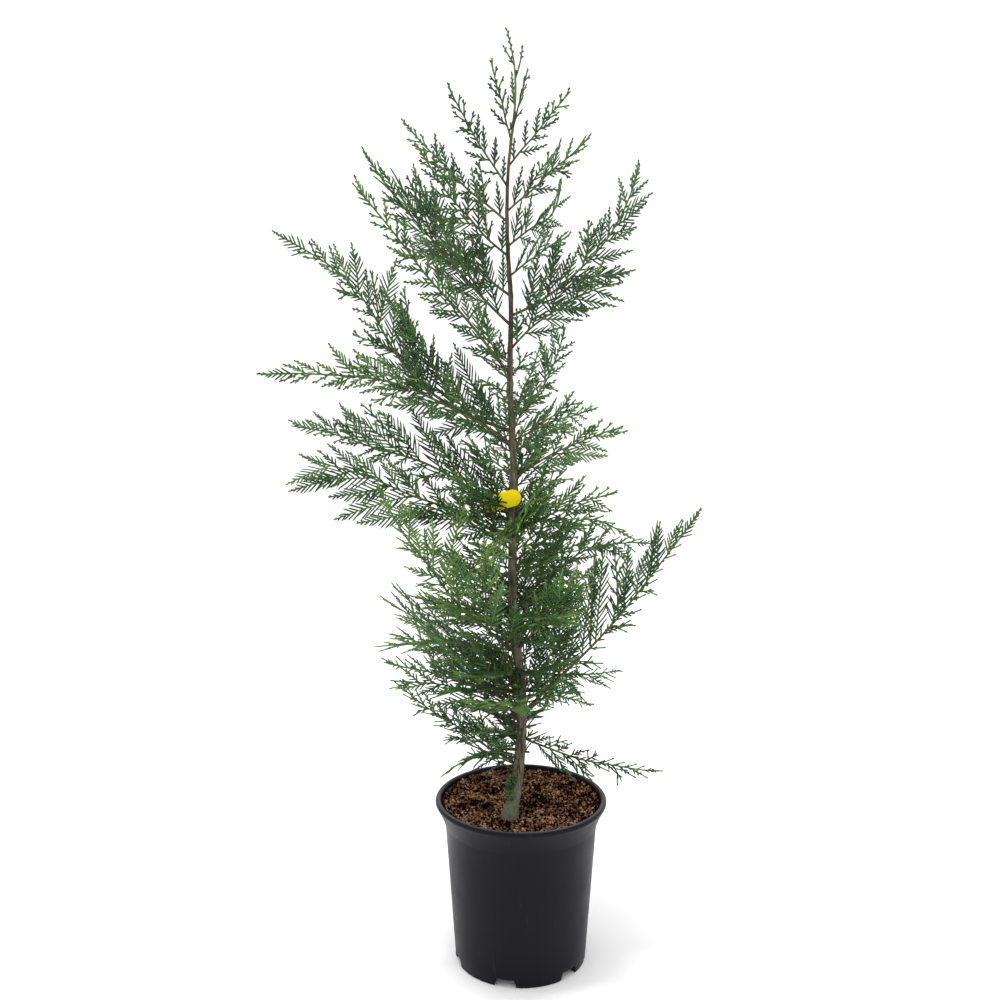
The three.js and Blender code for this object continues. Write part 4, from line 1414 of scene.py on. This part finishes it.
def clothe_stem(line, leaf_start, roll, fresh, draws, random):
    """Short shoots on the bough itself, between its twigs."""
    first = max(leaf_start, line.length * STEM_SHOOT_START)
    runs = np.arange(first, line.length * STEM_SHOOT_END, STEM_SHOOT_PITCH)
    if len(runs) == 0:
        return
    shares = runs / line.length
    along = line.along(shares)
    outward = np.array([spread_way(way, roll) for way in along])
    normal = np.cross(along, outward)
    tints = spray_tints(fresh, draws)
    grow_shoots(tints, line.at(shares), along, outward, normal, shares, STEM_SHOOT_RUN, random)


def grow_tip(line, roll, fresh, draws, random):
    """The twig that carries a bough on to its tip."""
    root = line.at(TIP_TWIG_START)
    along = line.at(1.0) - root
    length = np.linalg.norm(along)
    along = along / length
    outward = spread_way(along, roll)
    normal = np.cross(along, outward)
    grow_twig(spray_tints(fresh, draws), root, along, outward, normal, length, draws, random)


def grow_main_boughs():
    """Every bough of the table, with the side boughs that a long one carries."""
    for index, row in enumerate(BOUGHS):
        foot, compass, reach, tip, arch, sway, bare, roll, fresh, *breadths = row[1:]
        line = bough_line(on_trunk(foot), compass, reach, tip, arch, sway)
        leaf_start = LEAF_START + LEAF_START_SHARE * bare
        seed = index * BOUGH_SEED_STEP + MAIN_BOUGH_SEED
        grow_bough(line, seed, leaf_start, roll, fresh, breadths, wood_share(foot))
        if line.length > SIDE_BOUGH_LEAST:
            grow_side_boughs(line, seed + 1, roll, fresh, breadths)


def grow_side_boughs(line, seed, roll, fresh, breadths):
    """Small boughs on alternate sides of a long one, shorter towards its tip."""
    draws = seeded(seed)
    own_breadths = (SIDE_BOUGH_BREADTH, SIDE_BOUGH_BREADTH, SIDE_TIP_BREADTH)
    run = SIDE_BOUGH_START * line.length
    hand = 1
    while run < SIDE_BOUGH_END * line.length:
        share = run / line.length
        start = line.at(share)
        along = line.along(share)
        turn = hand * SIDE_BOUGH_TURN + drift(draws, SIDE_BOUGH_TURN_DRIFT)
        outward = spread_way(along, roll + turn)
        angle = math.radians(SIDE_BOUGH_ANGLE + drift(draws, SIDE_BOUGH_ANGLE_DRIFT))
        way = along * math.cos(angle) + outward * hand * math.sin(angle)
        breadth = breadths[0] if outward[2] * hand > 0 else breadths[1]
        length = SIDE_BOUGH_SHARE * breadth * (line.length - run) * (1 + drift(draws, SIDE_BOUGH_DRIFT))
        across, rearward, rise = way * length
        compass = math.degrees(math.atan2(rearward, across))
        child = bough_line(start, compass, math.hypot(across, rearward), start[2] + rise, SIDE_BOUGH_ARCH)
        own_seed = int(next(draws) * SIDE_BOUGH_SEEDS)
        grow_bough(child, own_seed, LEAF_START, roll, fresh, own_breadths, wood_share(start[2]) / 2)
        hand = -hand
        pitch = np.interp(start[2], SIDE_BOUGH_HEIGHTS, SIDE_BOUGH_PITCH)
        run += pitch * (1 + drift(draws, SIDE_BOUGH_PITCH_DRIFT))


def grow_small_boughs():
    """The small boughs that stand on the trunk round the label."""
    for index, (foot, compass, reach, tip, arch, roll, fresh, breadth) in enumerate(SMALL_BOUGHS):
        line = bough_line(on_trunk(foot), compass, reach, tip, arch)
        breadths = (breadth, breadth, SIDE_TIP_BREADTH)
        seed = SMALL_BOUGH_SEED + BOUGH_SEED_STEP * index
        grow_bough(line, seed, LEAF_START, roll, fresh, breadths, wood_share(foot) / 2)


def grow_inner_boughs():
    """Small boughs all the way up the trunk that fill the crown between the main ones."""
    draws = seeded(INNER_DRAW_SEED)
    seed = INNER_BOUGH_SEED
    height = INNER_HEIGHTS[0]
    turn = INNER_FIRST_TURN
    while height < INNER_HEIGHTS[-1]:
        reach = np.interp(height, INNER_HEIGHTS, INNER_REACH) * (1 + drift(draws, INNER_REACH_DRIFT))
        leftward = np.interp(height, INNER_HEIGHTS, INNER_LEFTWARD)
        reach *= 1 - leftward * math.cos(math.radians(turn))
        slope = np.interp(height, INNER_HEIGHTS, INNER_RISE) + drift(draws, INNER_RISE_DRIFT)
        arch = drift(draws, INNER_ARCH_DRIFT)
        line = bough_line(on_trunk(height), turn, reach, height + reach * slope, arch)
        # Painted light: inner boughs get fresher, lighter greens to lift the shade inside the crown
        fresh = np.interp(height, INNER_HEIGHTS, INNER_FRESH_AND_PAINTED_LIGHT)
        roll = 90 * abs(math.sin(math.radians(turn))) + drift(draws, INNER_ROLL_DRIFT)
        if abs(turn % 360 - FRONT) > FRONT_KEPT_OPEN:
            brown_share = wood_share(height) / 2
            grow_bough(line, seed, INNER_LEAF_START, roll, fresh, INNER_BREADTHS, brown_share)
        turn += INNER_TURN
        height += np.interp(height, INNER_HEIGHTS, INNER_PITCH)
        seed += BOUGH_SEED_STEP


def grow_leader():
    """The sprigs near the leader's tip, and the buds at its very end."""
    draws = seeded(LEADER_DRAW_SEED)
    random = np.random.default_rng(LEADER_SHOOT_SEED)
    for foot, compass, reach, rise, fullness in LEADER_SPRIGS:
        turn = math.radians(compass)
        way = np.array((reach * math.cos(turn), reach * math.sin(turn), rise))
        length = np.linalg.norm(way)
        direction = way / length
        curl_way = square_part(trunk_line.along(trunk_line.share_at_height(foot)), direction)
        tints = spray_tints(LEADER_FRESH, draws)
        normal = np.cross(direction, curl_way)
        grow_twig(tints, on_trunk(foot), direction, curl_way, normal, length, draws, random, fullness)
    shares = np.linspace(LEADER_BUDS_START, 1, LEADER_BUD_COUNT)
    along = trunk_line.along(shares)
    lean = math.radians(LEADER_BUD_LEAN)
    across = np.cross(along, REARWARD) * alternate_hands(LEADER_BUD_COUNT)
    ways = along * math.cos(lean) + across * math.sin(lean)
    lengths = np.full(LEADER_BUD_COUNT, LEADER_BUD_LENGTH)
    widths = np.full(LEADER_BUD_COUNT, BUD_WIDTH)
    add_buds(greens["dusk"], trunk_line.at(shares), ways, np.cross(ways, REARWARD), lengths, widths)


def grow_moss():
    """A tuft of moss on the left of the trunk's foot."""
    random = np.random.default_rng(MOSS_SEED)
    shares = trunk_line.share_at_height(random.uniform(*MOSS_HEIGHTS, MOSS_COUNT))
    turns = np.radians(random.uniform(*MOSS_COMPASS, MOSS_COUNT))
    outward = np.stack([np.cos(turns), np.sin(turns), np.zeros(MOSS_COUNT)], axis=1)
    roots = trunk_line.at(shares) + outward * trunk_radius(shares)[:, None] * MOSS_ROOT_DEPTH
    ways = unit(outward + UP * random.uniform(*MOSS_RISE, MOSS_COUNT)[:, None])
    across = unit(np.cross(UP, outward))
    lengths = MOSS_LENGTH * (1 + around(random, MOSS_COUNT, MOSS_LENGTH_DRIFT))
    kinds = random.choice(MOSS_GREENS, size=MOSS_COUNT)
    for kind in MOSS_GREENS:
        chosen = kinds == kind
        widths = np.full(int(chosen.sum()), BUD_WIDTH)
        add_buds(greens[kind], roots[chosen], ways[chosen], across[chosen], lengths[chosen], widths)


def grow_dead_twigs():
    """Thin bare twigs left low on the trunk, on its left and in front."""
    draws = seeded(DEAD_TWIG_SEED)
    for index in range(DEAD_TWIG_COUNT):
        root = on_trunk(lerp(*DEAD_TWIG_HEIGHTS, index / (DEAD_TWIG_COUNT - 1)))
        turn = math.radians(DEAD_TWIG_COMPASS + drift(draws, DEAD_TWIG_COMPASS_DRIFT))
        length = DEAD_TWIG_LENGTH * (1 + drift(draws, DEAD_TWIG_LENGTH_DRIFT))
        outward = np.array((math.cos(turn), math.sin(turn), drift(draws, DEAD_TWIG_RISE_DRIFT)))
        middle = root + outward * length / 2 + UP * drift(draws, DEAD_TWIG_BEND)
        places = smooth_line([root, middle, root + outward * length], DEAD_TWIG_STEPS).points
        stems["brown"].add(*tube(places, np.linspace(*DEAD_TWIG_RADII, len(places)), STEM_SIDES))


def make_foliage():
    """All that grows on the trunk, then one piece for each green and each kind of wood."""
    grow_main_boughs()
    grow_small_boughs()
    grow_inner_boughs()
    grow_leader()
    grow_moss()
    grow_dead_twigs()
    masses = [f"foliage_{row[0]}" for row in BOUGHS]
    for name, _, colour in GREENS:
        spray = greens[name].piece(f"sprays_{name}", scale_leaf(name, colour))
        settle(spray, masses)
    tips = bronze.piece("spray_tips", scale_leaf("bronze", BRONZE))
    settle(tips, [])
    limbs = [f"bough_{limb}" for limb in LIMBS]
    for kind, heap in stems.items():
        boughs = heap.piece(f"boughs_{kind}", bough_skin(kind))
        settle(boughs, limbs if kind == "brown" else [])


# Studio

def make_floor():
    deselect_all()
    bpy.ops.mesh.primitive_plane_add(size=FLOOR_SIZE, location=(0, 0, 0))
    floor = bpy.context.object
    floor.name = "studio_floor"
    floor.data.materials.append(pale_floor())


def make_light():
    """A white sky all round, and one soft lamp nearly overhead."""
    world = bpy.data.worlds.new("soft_white")
    bpy.context.scene.world = world
    world.use_nodes = True
    sky = world.node_tree.nodes["Background"]
    sky.inputs["Color"].default_value = (1, 1, 1, 1)
    sky.inputs["Strength"].default_value = SKY_STRENGTH
    lamp = bpy.data.lights.new("key", "AREA")
    lamp.size = LAMP_SIZE
    lamp.energy = LAMP_WATTS
    holder = bpy.data.objects.new("key", lamp)
    holder.location = LAMP_PLACE
    aim = Vector(LAMP_AIM) - Vector(LAMP_PLACE)
    holder.rotation_euler = aim.to_track_quat("-Z", "Y").to_euler()
    bpy.context.collection.objects.link(holder)


def make_camera():
    camera = bpy.data.cameras.new("camera")
    camera.lens = CAMERA_LENS
    camera.sensor_width = SENSOR_WIDTH
    holder = bpy.data.objects.new("camera", camera)
    holder.location = CAMERA_PLACE
    holder.rotation_euler = (math.radians(CAMERA_PITCH), 0, 0)
    bpy.context.collection.objects.link(holder)
    bpy.context.scene.camera = holder
    bpy.context.scene.view_settings.view_transform = "Standard"


make_floor()
make_light()
make_camera()
make_pot()
make_soil()
make_crumbs()
make_trunk()
make_label()
make_foliage()
